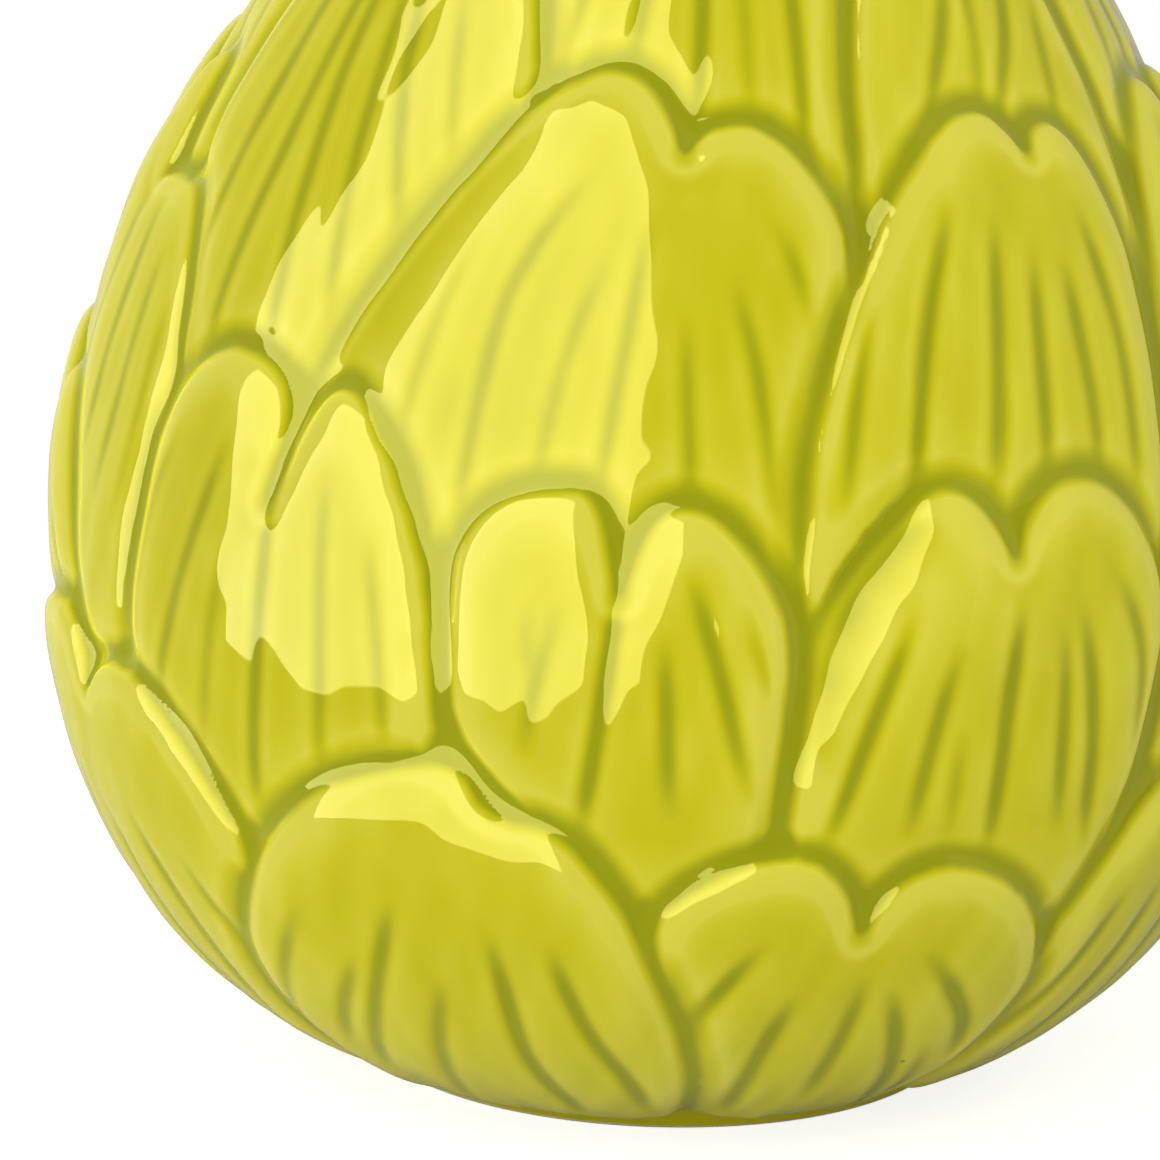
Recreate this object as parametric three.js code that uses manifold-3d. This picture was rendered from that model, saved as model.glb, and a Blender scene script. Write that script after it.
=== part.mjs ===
// Artichoke vase: a round-bellied vase of glazed earthenware, covered from foot to rim in
// five rows of overlapping bracts. Each bract has a tip notched into two lobes, rounded
// edges, and flutes that fan out below the notch.
//
// Millimetres, +Z up. The foot ring stands on Z = 0 and the vase turns about the Z axis.
// A place on the skin is given by its azimuth in degrees (0 faces -Y, growing towards +X),
// its reach: the distance along the skin's meridian from the foot, and its lift off the skin.

import * as THREE from 'three';
import { mergeVertices } from 'three/addons/utils/BufferGeometryUtils.js';
import Module from 'manifold-3d';

const wasm = await Module();
wasm.setup();

// Driving dimensions of the vase, each station as radius and height of the skin
const FOOT = [42, 0];
const BELLY = [87, 75];
const SHOULDER = [60, 148];
const NECK = [38.5, 195];
const MOUTH = [41, 216];

// Layers of the wall, as lifts off the skin
const WALL_OUTSIDE = -3.0;
const WALL_INSIDE = -6.5;
const LIP_INSIDE = -5;
const BRACT_BACK = -2.6;

// Foot ring and floor
const RING_INNER_RADIUS = 33;
const RING_OUTER_RADIUS = 41;
const RING_CHAMFER = 1.2;
const RECESS_HEIGHT = 2.5;
const RECESS_SLOPE = 2;
const FLOOR_HEIGHT = 9;
const FLOOR_RADIUS = 38;
const FLOOR_EDGE_REACH = 10;

// Mouth: the wall thins towards its rounded top, and the rim row's bracts make the lip above it
const THINNING_START = 200;
const WALL_TOP = 232;
const WALL_CROWN = 1.6;
const LIP_START = 234;

// Relief of a bract
const SEAT_LIFT = -1.0;
const TIP_LIFT = 1.2;
const EDGE_WIDTH = 3.5;
const EDGE_DROP = 1.5;
const FLUTE_DEPTH = 0.8;
const FLUTE_START = 9;
const FLUTE_FADE = 8;
const BRACT_GAP = 0.4;
const DIP_SHOULDER = 0.55;
const DIP_SPREAD = 0.15;

// Small differences between the regular bracts
const SWAY = 1.5;
const RISE = 2.5;
const SWAY_PACE = 2.3;
const RISE_PACE = 1.7;

// How far solids reach past what they cut or are cut by
const CUTTER_TOP = 3;
const CUTTER_DEPTH = -5.3;
const SEAT_BELOW_FOOT = 4;

// Fineness of the facets
const WALL_SEGMENTS = 24;
const WALL_REACHES = [3, 24, 50, 76, 104, 130, 152, 172, 188, 204, 218, WALL_TOP];
const LONGEST_STEP = 30;
const LEAST_COLUMN_SPACING = 3.4;
const FLANK_CORNERS = [0, 0.4, 0.8];
const DIP_CORNER = 0.3;

// Colours of the glaze over the bracts and over the bare wall
const BRACT_GLAZE = 0xd6d223;
const WALL_GLAZE = 0xc2bf2e;
const GLAZE_ROUGHNESS = 0.08;

const { clamp, lerp, smoothstep, degToRad, radToDeg } = THREE.MathUtils;

// Skin: the mean outer surface, a meridian of four curves turned about Z

function stretch(start, startHandle, endHandle, end) {
  const corners = [start, startHandle, endHandle, end];
  return new THREE.CubicBezierCurve(...corners.map(([r, z]) => new THREE.Vector2(r, z)));
}

const meridian = new THREE.CurvePath();
meridian.add(stretch(FOOT, [65, 8], [87, 30], BELLY));
meridian.add(stretch(BELLY, [87, 98], [75.5, 124], SHOULDER));
meridian.add(stretch(SHOULDER, [51, 162], [41, 176], NECK));
meridian.add(stretch(NECK, [37.8, 202], [38.6, 209], MOUTH));
const MERIDIAN_LENGTH = meridian.getLength();

// Radius and height of a point lifted off the meridian along its outward normal
function station(reach, lift) {
  const along = clamp(reach / MERIDIAN_LENGTH, 0, 1);
  const centre = meridian.getPoint(along);
  const tangent = meridian.getTangent(along);
  const past = reach - along * MERIDIAN_LENGTH;
  return new THREE.Vector2(
    centre.x + tangent.y * lift + tangent.x * past,
    centre.y - tangent.x * lift + tangent.y * past,
  );
}

function onSkin(azimuth, reach, lift) {
  const { x: radius, y: height } = station(reach, lift);
  const turn = degToRad(azimuth);
  return [radius * Math.sin(turn), -radius * Math.cos(turn), height];
}

// Degrees of azimuth that span a width in millimetres at a reach
function degreesAcross(width, reach) {
  return radToDeg(width / station(reach, 0).x);
}

// Solids

function toSolid(geometry) {
  geometry.deleteAttribute('normal');
  geometry.deleteAttribute('uv');
  const merged = mergeVertices(geometry);
  const corners = Array.from(merged.index.array);
  const faces = [];
  for (let i = 0; i < corners.length; i += 3) {
    const face = corners.slice(i, i + 3);
    if (new Set(face).size === 3) faces.push(...face);
  }
  return new wasm.Manifold(new wasm.Mesh({
    numProp: 3,
    vertProperties: new Float32Array(merged.attributes.position.array),
    triVerts: new Uint32Array(faces),
  }));
}

function toGeometry(solid) {
  const { vertProperties, triVerts } = solid.getMesh();
  const geometry = new THREE.BufferGeometry();
  geometry.setAttribute('position', new THREE.BufferAttribute(vertProperties, 3));
  geometry.setIndex(new THREE.BufferAttribute(triVerts, 1));
  return geometry;
}

// A profile of radius and height points turned about Z, closed on itself or on the axis
function turned(profile) {
  const lathe = new THREE.LatheGeometry(profile, WALL_SEGMENTS);
  return toSolid(lathe.rotateX(Math.PI / 2));
}

// A closed sheet between two grids of points, each a list of columns from root to tip
function sheet(front, back) {
  const columns = front.length;
  const rows = front[0].length;
  const at = (side, column, row) => (side * columns + column) * rows + row;
  const faces = [];
  const quad = (a, b, c, d) => faces.push(a, b, c, a, c, d);
  for (let c = 0; c < columns - 1; c++) {
    for (let r = 0; r < rows - 1; r++) {
      quad(at(0, c, r), at(0, c + 1, r), at(0, c + 1, r + 1), at(0, c, r + 1));
      quad(at(1, c, r), at(1, c, r + 1), at(1, c + 1, r + 1), at(1, c + 1, r));
    }
    quad(at(1, c, 0), at(1, c + 1, 0), at(0, c + 1, 0), at(0, c, 0));
    quad(at(0, c, rows - 1), at(0, c + 1, rows - 1), at(1, c + 1, rows - 1), at(1, c, rows - 1));
  }
  for (let r = 0; r < rows - 1; r++) {
    quad(at(1, 0, r), at(0, 0, r), at(0, 0, r + 1), at(1, 0, r + 1));
    const last = columns - 1;
    quad(at(0, last, r), at(1, last, r), at(1, last, r + 1), at(0, last, r + 1));
  }
  const geometry = new THREE.BufferGeometry();
  const points = [...front.flat(), ...back.flat()];
  geometry.setAttribute('position', new THREE.Float32BufferAttribute(points.flat(), 3));
  geometry.setIndex(faces);
  return toSolid(geometry);
}

// Wall: one revolved shell with its foot ring, recessed underside, floor and open mouth

function reachesBetween(low, high, steps) {
  return Array.from({ length: steps + 1 }, (_, i) => lerp(low, high, i / steps));
}

function insideLift(reach) {
  return lerp(WALL_INSIDE, LIP_INSIDE, smoothstep(reach, THINNING_START, WALL_TOP));
}

function vesselWall() {
  const outside = WALL_REACHES.map((reach) => station(reach, WALL_OUTSIDE));
  const inside = WALL_REACHES
    .filter((reach) => reach > FLOOR_EDGE_REACH)
    .map((reach) => station(reach, insideLift(reach)))
    .reverse();
  const crown = station(WALL_TOP + WALL_CROWN, (WALL_OUTSIDE + LIP_INSIDE) / 2);
  const underside = [
    new THREE.Vector2(0, RECESS_HEIGHT),
    new THREE.Vector2(RING_INNER_RADIUS - RECESS_SLOPE, RECESS_HEIGHT),
    new THREE.Vector2(RING_INNER_RADIUS, 0),
    new THREE.Vector2(RING_OUTER_RADIUS - RING_CHAMFER, 0),
    new THREE.Vector2(RING_OUTER_RADIUS, RING_CHAMFER),
  ];
  const floor = [
    new THREE.Vector2(FLOOR_RADIUS, FLOOR_HEIGHT),
    new THREE.Vector2(0, FLOOR_HEIGHT),
  ];
  return turned([...underside, ...outside, crown, ...inside, ...floor]);
}

// Everything deeper than the backs of the bracts up to the lip, faceted as the wall is
function bractSeat() {
  const reaches = [-SEAT_BELOW_FOOT, ...WALL_REACHES, LIP_START];
  const profile = reaches.map((reach) => station(reach, BRACT_BACK));
  const foot = new THREE.Vector2(0, profile[0].y);
  const top = new THREE.Vector2(0, profile.at(-1).y);
  return turned([foot, ...profile, top]);
}

// Bracts: in each row, seat is the reach at which the bracts come out from behind the row
// below, root is where their solids start, and tip is where they end.
const ROWS = {
  foot_row: { seat: 6, root: 5, tip: 76 },
  belly_row: { seat: 72, root: 56, tip: 120 },
  shoulder_row: { seat: 118, root: 84, tip: 170 },
  neck_row: { seat: 166, root: 130, tip: 212 },
  rim_row: { seat: 205, root: 180, tip: 246 },
};

// Bracts on the side that faces -Y, each with a shape of its own. An outline is given by its
// notch, the peaks of its two lobes and the widest place on each side, as [azimuth, reach].
// round is how full each side's curve is, root gives the azimuths of its lower end, flutes
// holds [upper, lower] azimuths of each flute, and front is its place in its row: a higher
// number lies over a lower one. levels replaces levels of its row.
const SHAPED = {
  foot_row: [
    { notch: [-17.5, 76.5], peaks: [[-22.5, 81], [-12.5, 74]], sides: [[-50.5, 30], [4.8, 20]],
      round: [0.42, 0.38], root: [-49, 5],
      flutes: [[-37, -44], [-31, -36], [-24, -27], [-16.5, -13], [-9, 0]], front: 3 },
    { notch: [18.5, 57.5], peaks: [[11, 69.7], [26, 67.2]], sides: [[-2, 54], [41.6, 42]],
      round: [0.5, 0.48], root: [1, 38],
      flutes: [[9, 5], [13, 11], [19.5, 19], [24, 28], [29, 35]], front: 2 },
    { notch: [62, 68], peaks: [[56, 76], [70, 74]], sides: [[39, 40], [86, 40]],
      round: [0.38, 0.5], root: [40, 84],
      flutes: [[50, 44], [56, 52], [62, 61], [68, 70], [74, 78]], front: 1 },
    { notch: [-66.5, 77], peaks: [[-74, 87], [-59, 83]], sides: [[-95, 50], [-40, 46]],
      round: [0.5, 0.42], root: [-92, -44],
      flutes: [[-80, -86], [-74, -77], [-68, -66], [-61, -57], [-54, -49]], front: 2 },
  ],
  belly_row: [
    { notch: [-39.5, 112], peaks: [[-47, 131], [-33.5, 129]], sides: [[-58.8, 108], [-21, 95]],
      round: [0.5, 0.42], root: [-60, -21],
      flutes: [[-50, -56], [-45, -49], [-39, -41], [-33, -32], [-27.5, -26]], front: 2 },
    { notch: [-5, 106], peaks: [[-9.5, 120], [0.5, 118.3]], sides: [[-21.6, 96], [11, 95]],
      round: [0.7, 0.45], root: [-8, 9],
      flutes: [[-13, -12], [-9, -10], [-5, -8], [-0.5, 0], [4, 7.5]], front: 1 },
    { notch: [31, 109.5], peaks: [[24.3, 119.8], [39, 119.3]], sides: [[11.2, 96], [50.5, 95]],
      round: [0.4, 0.5], root: [9, 46],
      flutes: [[20, 14], [25, 22], [31, 30], [37, 38], [42.5, 43]], front: 2 },
    { notch: [-90, 108], peaks: [[-97, 122], [-84, 117]], sides: [[-108, 95], [-70.5, 80]],
      round: [0.5, 0.42], root: [-108, -68],
      flutes: [[-100, -104], [-95, -96], [-90, -88], [-85, -81], [-80, -74]], front: 1 },
  ],
  shoulder_row: [
    { notch: [-76.5, 147.5], peaks: [[-83.5, 166], [-68.5, 149.5]], sides: [[-93, 128], [-56, 112]],
      round: [0.5, 0.45], root: [-91, -58],
      flutes: [[-83, -88], [-77, -80], [-71, -72], [-66, -67], [-62, -62]], front: 2 },
    { notch: [-0.5, 164.5], peaks: [[-9.8, 176.6], [6.5, 169.3]], sides: [[-37.5, 112], [19, 146]],
      round: [0.36, 0.5], root: [-36, 14],
      flutes: [[-21, -27], [-12, -20], [-4, -7], [2, 1], [7, 9]], front: 1 },
    { notch: [43, 162], peaks: [[36.7, 169.4], [48.5, 166.3]], sides: [[11, 116], [55.5, 146]],
      round: [0.42, 0.55], root: [11, 50],
      flutes: [[23, 15], [30, 22.5], [36.5, 31], [42.5, 39], [48, 47]], front: 3 },
    { notch: [81, 161], peaks: [[75, 168], [88, 167]], sides: [[54, 120], [101, 130]],
      round: [0.4, 0.5], root: [56, 98],
      flutes: [[69, 62], [75, 71], [81, 79], [87, 87], [93, 94]], front: 2 },
  ],
  neck_row: [
    { notch: [-49, 203], peaks: [[-57, 212], [-41, 210]], sides: [[-72, 160], [-19, 168]],
      round: [0.45, 0.45], root: [-62, -30], levels: { seat: 130, root: 106 },
      flutes: [[-57, -60.5], [-53, -52.5], [-49, -42.5], [-45, -36], [-41, -28]], front: 3 },
    { notch: [0, 204], peaks: [[-8, 213], [8, 211.5]], sides: [[-27, 180], [27, 180]],
      round: [0.5, 0.5], root: [-22, 22],
      flutes: [[-12, -17], [-5, -8], [1, 0.5], [6, 7], [11, 14]], front: 1 },
    { notch: [46, 202], peaks: [[38, 211], [54, 209]], sides: [[20, 168], [67, 176]],
      round: [0.42, 0.48], root: [18, 58],
      flutes: [[35, 26], [41, 33], [46, 41], [51, 48], [56, 54]], front: 2 },
  ],
};

// Regular bracts fill each row round the back, with small turns and rises of their own
const REGULAR = {
  foot_row: {
    centres: [108, 153, 199, 246], fronts: [3, 1, 3, 1],
    halfWidth: 25, lobe: 8, notchDepth: 9, flank: 32,
  },
  belly_row: {
    centres: [71, 111, 151, 191, 231], fronts: [1, 2, 1, 2, 3],
    halfWidth: 21, lobe: 7.5, notchDepth: 9.5, flank: 26,
  },
  shoulder_row: {
    centres: [123, 165, 206, 247], fronts: [1, 3, 1, 3],
    halfWidth: 23.5, lobe: 8, notchDepth: 8, flank: 36,
  },
  neck_row: {
    centres: [88, 131, 175, 220, 265], fronts: [3, 1, 2, 1, 2],
    halfWidth: 25, lobe: 9, notchDepth: 8, flank: 34,
  },
  rim_row: {
    centres: [-22, 20, 62, 106, 151, 197, 243, 290], fronts: [1, 2, 1, 2, 1, 2, 1, 2],
    halfWidth: 25, lobe: 10.5, notchDepth: 4.5, flank: 16,
  },
};
const REGULAR_ROUND = 0.48;
const FLUTE_SPREAD = [-1, -0.52, 0, 0.52, 1];
const UPPER_SPREAD = 0.5;
const LOWER_SPREAD = 0.76;

function regularBract(rowName, place) {
  const { tip } = ROWS[rowName];
  const { centres, fronts, halfWidth, lobe, notchDepth, flank } = REGULAR[rowName];
  const centre = centres[place];
  const sway = SWAY * Math.sin(centre * SWAY_PACE + tip);
  const rise = rowName === 'rim_row' ? 0 : RISE * Math.sin(centre * RISE_PACE + tip);
  const notch = [centre + sway, tip - notchDepth + rise];
  return {
    notch,
    peaks: [[notch[0] - lobe, tip + rise], [notch[0] + lobe, tip + rise - SWAY + sway]],
    sides: [[centre - halfWidth, tip - flank], [centre + halfWidth, tip - flank]],
    round: [REGULAR_ROUND, REGULAR_ROUND],
    root: [centre - halfWidth, centre + halfWidth],
    flutes: FLUTE_SPREAD.map((k) => [
      notch[0] + UPPER_SPREAD * k * halfWidth,
      centre + LOWER_SPREAD * k * halfWidth,
    ]),
    front: fronts[place],
  };
}

// Upper edge of a bract, from its left side over both lobes to its right side
function tipCurves({ notch, peaks, sides, round }) {
  const flank = (side, peak, fullness) => new THREE.CubicBezierCurve(
    new THREE.Vector2(...side),
    new THREE.Vector2(side[0], lerp(side[1], peak[1], fullness)),
    new THREE.Vector2(lerp(peak[0], side[0], fullness), peak[1]),
    new THREE.Vector2(...peak),
  );
  const dip = (peak) => new THREE.CubicBezierCurve(
    new THREE.Vector2(...peak),
    new THREE.Vector2(lerp(peak[0], notch[0], DIP_SHOULDER), peak[1]),
    new THREE.Vector2(
      lerp(notch[0], peak[0], DIP_SPREAD),
      lerp(notch[1], peak[1], DIP_SHOULDER),
    ),
    new THREE.Vector2(...notch),
  );
  return {
    left: flank(sides[0], peaks[0], round[0]),
    leftDip: dip(peaks[0]),
    rightDip: dip(peaks[1]),
    right: flank(sides[1], peaks[1], round[1]),
  };
}

// Straight-line interpolation through [x, y] pairs sorted by x
function between(pairs, x) {
  const last = pairs.length - 1;
  const next = clamp(pairs.findIndex(([px]) => px >= x), 1, last);
  const upper = x > pairs[last][0] ? pairs[last] : pairs[next];
  const lower = pairs[pairs.indexOf(upper) - 1];
  return lerp(lower[1], upper[1], (x - lower[0]) / (upper[0] - lower[0]));
}

// Unit step in millimetres, across and up the skin, square to the line between two places
function outwardBetween([azimuth, reach], [nextAzimuth, nextReach]) {
  const across = (nextAzimuth - azimuth) / degreesAcross(1, (reach + nextReach) / 2);
  const length = Math.hypot(across, nextReach - reach);
  return [(reach - nextReach) / length, across / length];
}

// Columns of a bract's grid, each running from a root azimuth to a point on the tip's outline.
// The outline's corners give some. The face has a column down each flute as well, on the
// nearest corner where one is close, and a crest between two flutes that have none.
function bractColumns(bract, row) {
  const { left, leftDip, rightDip, right } = tipCurves(bract);
  const corners = [
    ...FLANK_CORNERS.map((t) => left.getPoint(t)),
    leftDip.getPoint(DIP_CORNER), leftDip.getPoint(1), rightDip.getPoint(DIP_CORNER),
    ...FLANK_CORNERS.map((t) => right.getPoint(t)).reverse(),
  ].map((point) => [point.x, point.y]);
  const { seat, root, tip } = row;
  const upperReach = bract.notch[1] - FLUTE_START;
  const flutes = bract.flutes.map(([upper, lower]) => {
    const slope = (upper - lower) / (upperReach - seat);
    return { tip: upper + slope * (tip - upperReach), root: lower - slope * (seat - root) };
  });
  const spread = [
    [corners[0][0], bract.root[0]],
    ...flutes.map((flute) => [flute.tip, flute.root]),
    [corners.at(-1)[0], bract.root[1]],
  ];
  const column = (azimuth) => ({
    tip: azimuth,
    tipReach: between(corners, azimuth),
    rootAzimuth: between(spread, azimuth),
    groove: 0,
  });
  const ring = [[bract.root[0], root], ...corners, [bract.root[1], root]];
  const outline = corners.map(([azimuth], i) => ({
    ...column(azimuth),
    outward: outwardBetween(ring[i], ring[i + 2]),
  }));
  const face = corners.map(([azimuth]) => column(azimuth));
  const inner = face.slice(1, -1);
  const grooves = flutes.map((flute) => {
    const close = inner.find((line) => Math.abs(line.tip - flute.tip) < LEAST_COLUMN_SPACING);
    const line = close ?? column(flute.tip);
    if (!close) face.push(line);
    line.groove = 1;
    return line;
  });
  grooves.slice(1).forEach((line, i) => {
    const before = grooves[i];
    const parted = face.some((other) => other.tip > before.tip && other.tip < line.tip);
    if (!parted && line !== before) face.push(column((before.tip + line.tip) / 2));
  });
  face.sort((a, b) => a.tip - b.tip);
  return { outline, face };
}

// Grid of points on a bract, grown outwards by a margin and lifted by a function of the place
function bractGrid(row, columns, margin, liftAt) {
  const last = columns.length - 1;
  const longest = Math.max(...columns.map((column) => column.tipReach)) - row.root;
  const steps = Math.ceil(longest / LONGEST_STEP);
  return columns.map((column, c) => {
    const side = c === 0 ? -1 : c === last ? 1 : 0;
    const [across, up] = column.outward ?? [0, 0];
    const low = row.root - margin;
    const high = column.tipReach + margin * up;
    const lowAzimuth = column.rootAzimuth + degreesAcross(margin * side, low);
    const highAzimuth = column.tip + degreesAcross(margin * across, high);
    const reaches = [...reachesBetween(low, high - EDGE_WIDTH, steps), high];
    return reaches.map((reach, r) => {
      const azimuth = lerp(lowAzimuth, highAzimuth, (reach - low) / (high - low));
      const onEdge = side !== 0 || r === reaches.length - 1;
      return onSkin(azimuth, reach, liftAt(reach, column, onEdge));
    });
  });
}

// Face of a bract: it rises from where the row below covers it to its tip, drops along its
// rounded edge, and dips along its flutes
function faceLift(bract, row) {
  return (reach, column, onEdge) => {
    const rise = clamp((reach - row.seat) / (row.tip - row.seat), 0, 1);
    const face = lerp(SEAT_LIFT, TIP_LIFT, rise);
    const fadeOut = clamp((bract.notch[1] - FLUTE_START + FLUTE_FADE - reach) / FLUTE_FADE, 0, 1);
    const groove = column.groove * FLUTE_DEPTH * fadeOut;
    return face - groove - (onEdge ? EDGE_DROP : 0);
  };
}

function buildBracts() {
  const bracts = [];
  Object.entries(ROWS).forEach(([rowName, rowLevels], rank) => {
    const shaped = SHAPED[rowName] ?? [];
    const regular = REGULAR[rowName].centres.map((_, place) => regularBract(rowName, place));
    [...shaped, ...regular].forEach((bract, i) => {
      const row = { ...rowLevels, ...bract.levels };
      const { outline, face } = bractColumns(bract, row);
      const azimuths = outline.flatMap((column) => [column.tip, column.rootAzimuth]);
      const grid = (columns, margin) => ((liftAt) => bractGrid(row, columns, margin, liftAt));
      bracts.push({
        name: `${rowName}_bract_${i + 1}`,
        overlay: bract.front - 10 * rank,
        azimuths: [Math.min(...azimuths), Math.max(...azimuths)],
        reaches: [row.root, Math.max(...outline.map((column) => column.tipReach))],
        onFace: grid(face, 0),
        onCutter: grid(outline, BRACT_GAP),
        face: faceLift(bract, row),
      });
    });
  });
  return bracts;
}

// Two bracts meet where both their azimuths and their reaches overlap
function meets(a, b) {
  const turn = ((b.azimuths[0] + b.azimuths[1] - a.azimuths[0] - a.azimuths[1]) / 2) % 360;
  const apart = Math.min(Math.abs(turn), 360 - Math.abs(turn));
  const halfWidths = (a.azimuths[1] - a.azimuths[0] + b.azimuths[1] - b.azimuths[0]) / 2;
  const level = a.reaches[0] < b.reaches[1] && b.reaches[0] < a.reaches[1];
  return level && apart < halfWidths;
}

function bractSolids() {
  const bracts = buildBracts();
  const seat = bractSeat();
  const back = () => LIP_INSIDE;
  const high = () => CUTTER_TOP;
  const deep = () => CUTTER_DEPTH;
  for (const bract of bracts) bract.cutter = sheet(bract.onCutter(high), bract.onCutter(deep));
  return bracts.map((bract) => {
    let solid = sheet(bract.onFace(bract.face), bract.onFace(back)).subtract(seat);
    for (const other of bracts) {
      if (other.overlay > bract.overlay && meets(bract, other)) solid = solid.subtract(other.cutter);
    }
    const largest = solid.decompose().sort((a, b) => b.volume() - a.volume())[0];
    return { name: bract.name, solid: largest };
  });
}

// Assembly

const glaze = (color) => new THREE.MeshStandardMaterial({ color, roughness: GLAZE_ROUGHNESS });
const vase = new THREE.Group();

function addPiece(name, solid, color) {
  const piece = new THREE.Mesh(toGeometry(solid), glaze(color));
  piece.name = name;
  vase.add(piece);
}

addPiece('vessel_wall', vesselWall(), WALL_GLAZE);
for (const { name, solid } of bractSolids()) addPiece(name, solid, BRACT_GLAZE);

export default vase;
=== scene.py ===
"""Artichoke vase: glossy chartreuse earthenware, covered in overlapping notch-tipped bracts.

The relief is drawn as one height field over the vase's skin, in millimetres. A place on the
skin is given by its azimuth in degrees (0 faces -Y, growing towards +X), its reach: the distance
along the skin's meridian from the foot, and its lift off the skin. The bracts are laid on it
from the hindmost to the foremost, the glaze smooths it, and each bract then takes the stretch
of it that it shows.
"""

import math

import bpy
import numpy as np
from mathutils import Euler, Matrix, Vector
from mathutils.geometry import delaunay_2d_cdt


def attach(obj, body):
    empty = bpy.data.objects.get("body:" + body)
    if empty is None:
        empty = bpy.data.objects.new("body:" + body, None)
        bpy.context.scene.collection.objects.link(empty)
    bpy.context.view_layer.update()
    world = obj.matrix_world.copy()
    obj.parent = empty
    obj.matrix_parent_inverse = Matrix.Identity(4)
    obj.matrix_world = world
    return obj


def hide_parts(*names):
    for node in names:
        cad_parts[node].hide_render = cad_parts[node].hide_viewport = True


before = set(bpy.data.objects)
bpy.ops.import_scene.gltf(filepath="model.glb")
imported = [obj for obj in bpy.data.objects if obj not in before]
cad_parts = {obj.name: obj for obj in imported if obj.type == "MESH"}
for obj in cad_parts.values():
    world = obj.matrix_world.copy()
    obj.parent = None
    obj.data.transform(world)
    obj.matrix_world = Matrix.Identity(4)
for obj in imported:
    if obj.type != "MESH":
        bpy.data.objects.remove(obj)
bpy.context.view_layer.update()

MM = 0.001

# Sizes are in millimetres and angles in degrees, and those of the stage in metres

# Meridian of the skin: radius and height of the control points of its four curves
BELLY = 87
MERIDIAN = [
    [(42, 0), (65, 8), (BELLY, 30), (BELLY, 75)],
    [(BELLY, 75), (BELLY, 98), (75.5, 124), (60, 148)],
    [(60, 148), (51, 162), (41, 176), (38.5, 195)],
    [(38.5, 195), (37.8, 202), (38.6, 209), (41, 216)],
]
POINTS_PER_CURVE = 600

# Lifts of the layers
BARE_LIFT = -1.9
SEAT_LIFT = -1.3
TIP_LIFT = 0.8
WALL_OUTSIDE = -4.1
WALL_INSIDE = -6.5
LIP_INSIDE = -4.4
BRACT_BACK = -2.4

# Relief of a bract: it lies higher than one with a lower front, its edge rolls over, its face is a
# pillow, and what lies beneath sinks towards it, most of all in its notch
FRONT_STEP = 0.25
MIDDLE_FRONT = 2
ROLL_DROP = 1.2
ROLL_WIDTH = 3.6
PILLOW_DROP = 1.6
PILLOW_WIDTH = 7.5
MOAT_DEPTH = 0.9
MOAT_WIDTH = 3.2
NOTCH_REACH = 4.5
NOTCH_EASE = 0.55
NOTCH_DEEPENING = 0.2
NOTCH_WIDENING = 0.8
DEEPEST = -3.6
DEEPEST_SOFTNESS = 0.3

# A flute is a sharp groove in a wide trough. It fades at its ends and near an edge, and so does
# a flute that another bract's edge crosses
FLUTE_DEPTH = 0.31
FLUTE_WIDTH = 0.9
TROUGH = 0.45
TROUGH_WIDTH = 2.3
FLUTE_FADE = 12.0
PAST_UPPER_END = 2
PAST_LOWER_END = 3
EDGE_FADE = 4
EDGE_FLUTES = 0.15
COVERED_FLUTES = 1

# Slow unevenness of the mould: share, seed of the random draws, longest wave and number of waves
WAVE_DEPTH = 0.22
WAVES = [(0.5, 7, 30, 24), (0.25, 8, 12, 40)]
FEWEST_ROUND = 3

# Glaze: the width over which it levels the relief, that over which it fills the valleys, and the
# width that tells how deep it pools. Where it pools or thins beside a line, place is how far from
# the line that is
GLAZE_LEVELLING = 0.7
VALLEY_LEVELLING = 1.5
VALLEY_DEPTH = 0.8
POOL_LEVELLING = 2.6
POOL_SOFTNESS = 0.45
BLUR_REACH = 3.5
FLUTE_POOL = 0.58
POOL_WIDTH = 0.65
RIDGE_THINNING = 0.2
RIDGE_PLACE = 2.2
RIDGE_WIDTH = 0.9
MOAT_POOL = 0.05
NOTCH_POOL = 0.25
EDGE_POOL = 0.3
EDGE_POOL_WIDTH = 0.9
CREST_THINNING = 0.42
CREST_PLACE = 2.7
CREST_WIDTH = 0.75
SHOULDER_THINNING = 0.16
SHOULDER_PLACE = 4.0
SHOULDER_WIDTH = 0.8

# Lip: the free edge of the rim row is rounded over, and the glaze runs thin on it. LIP_SEARCH
# is how many columns to each side can hold the nearest edge
LIP_WIDTH = 2.6
LIP_MIDDLE = -1.9
LIP_BACK_WIDTH = 2.2
LIP_THINNING = 0.25
LIP_THIN_WIDTH = 1.4 * LIP_WIDTH
LIP_SEARCH = 14
BETWEEN_RIM_BRACTS = 14.0

# Foot: the relief runs out into the wall above it
FOOT_RUN_OUT = 6
FOOT_CLEARANCE = 0.1

# Grid of the height field, and how far round an outline it is searched
COLUMNS = 1080
FIRST_REACH = 3.0
FREE_REACH = 222.0
LEVEL_ROWS = 439
LIP_ROWS = 50
LIP_CLUSTER = 1.5
MARGIN = 8

# Pieces: a bract's rim dips under its neighbours, and its back stays behind its front. Border and
# spacings are places of the grid
RIM_TUCK = 0.05
LEAST_THICKNESS = 0.4
THICK_FROM_LIP = 0.5
BACK_GAP = 0.04
BORDER = 3
BACK_SPACING = 14
LIP_BACK_SPACING = 3
LIP_BACK_FROM = 228

# Wall: the reach at which it stops under the lip, over how much of it the bracts' backs take its
# place, from where it thins and where its points lie closer, and its rounded top, as reach past
# WALL_TOP and lift
WALL_TOP = 232.0
WALL_TOP_BLEND = 1.5
THINNING_FROM = 196
FINE_FROM = 226
CROWN = [(0.9, -4.12), (1.4, -4.25)]
WALL_SEGMENTS = 256

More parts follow.
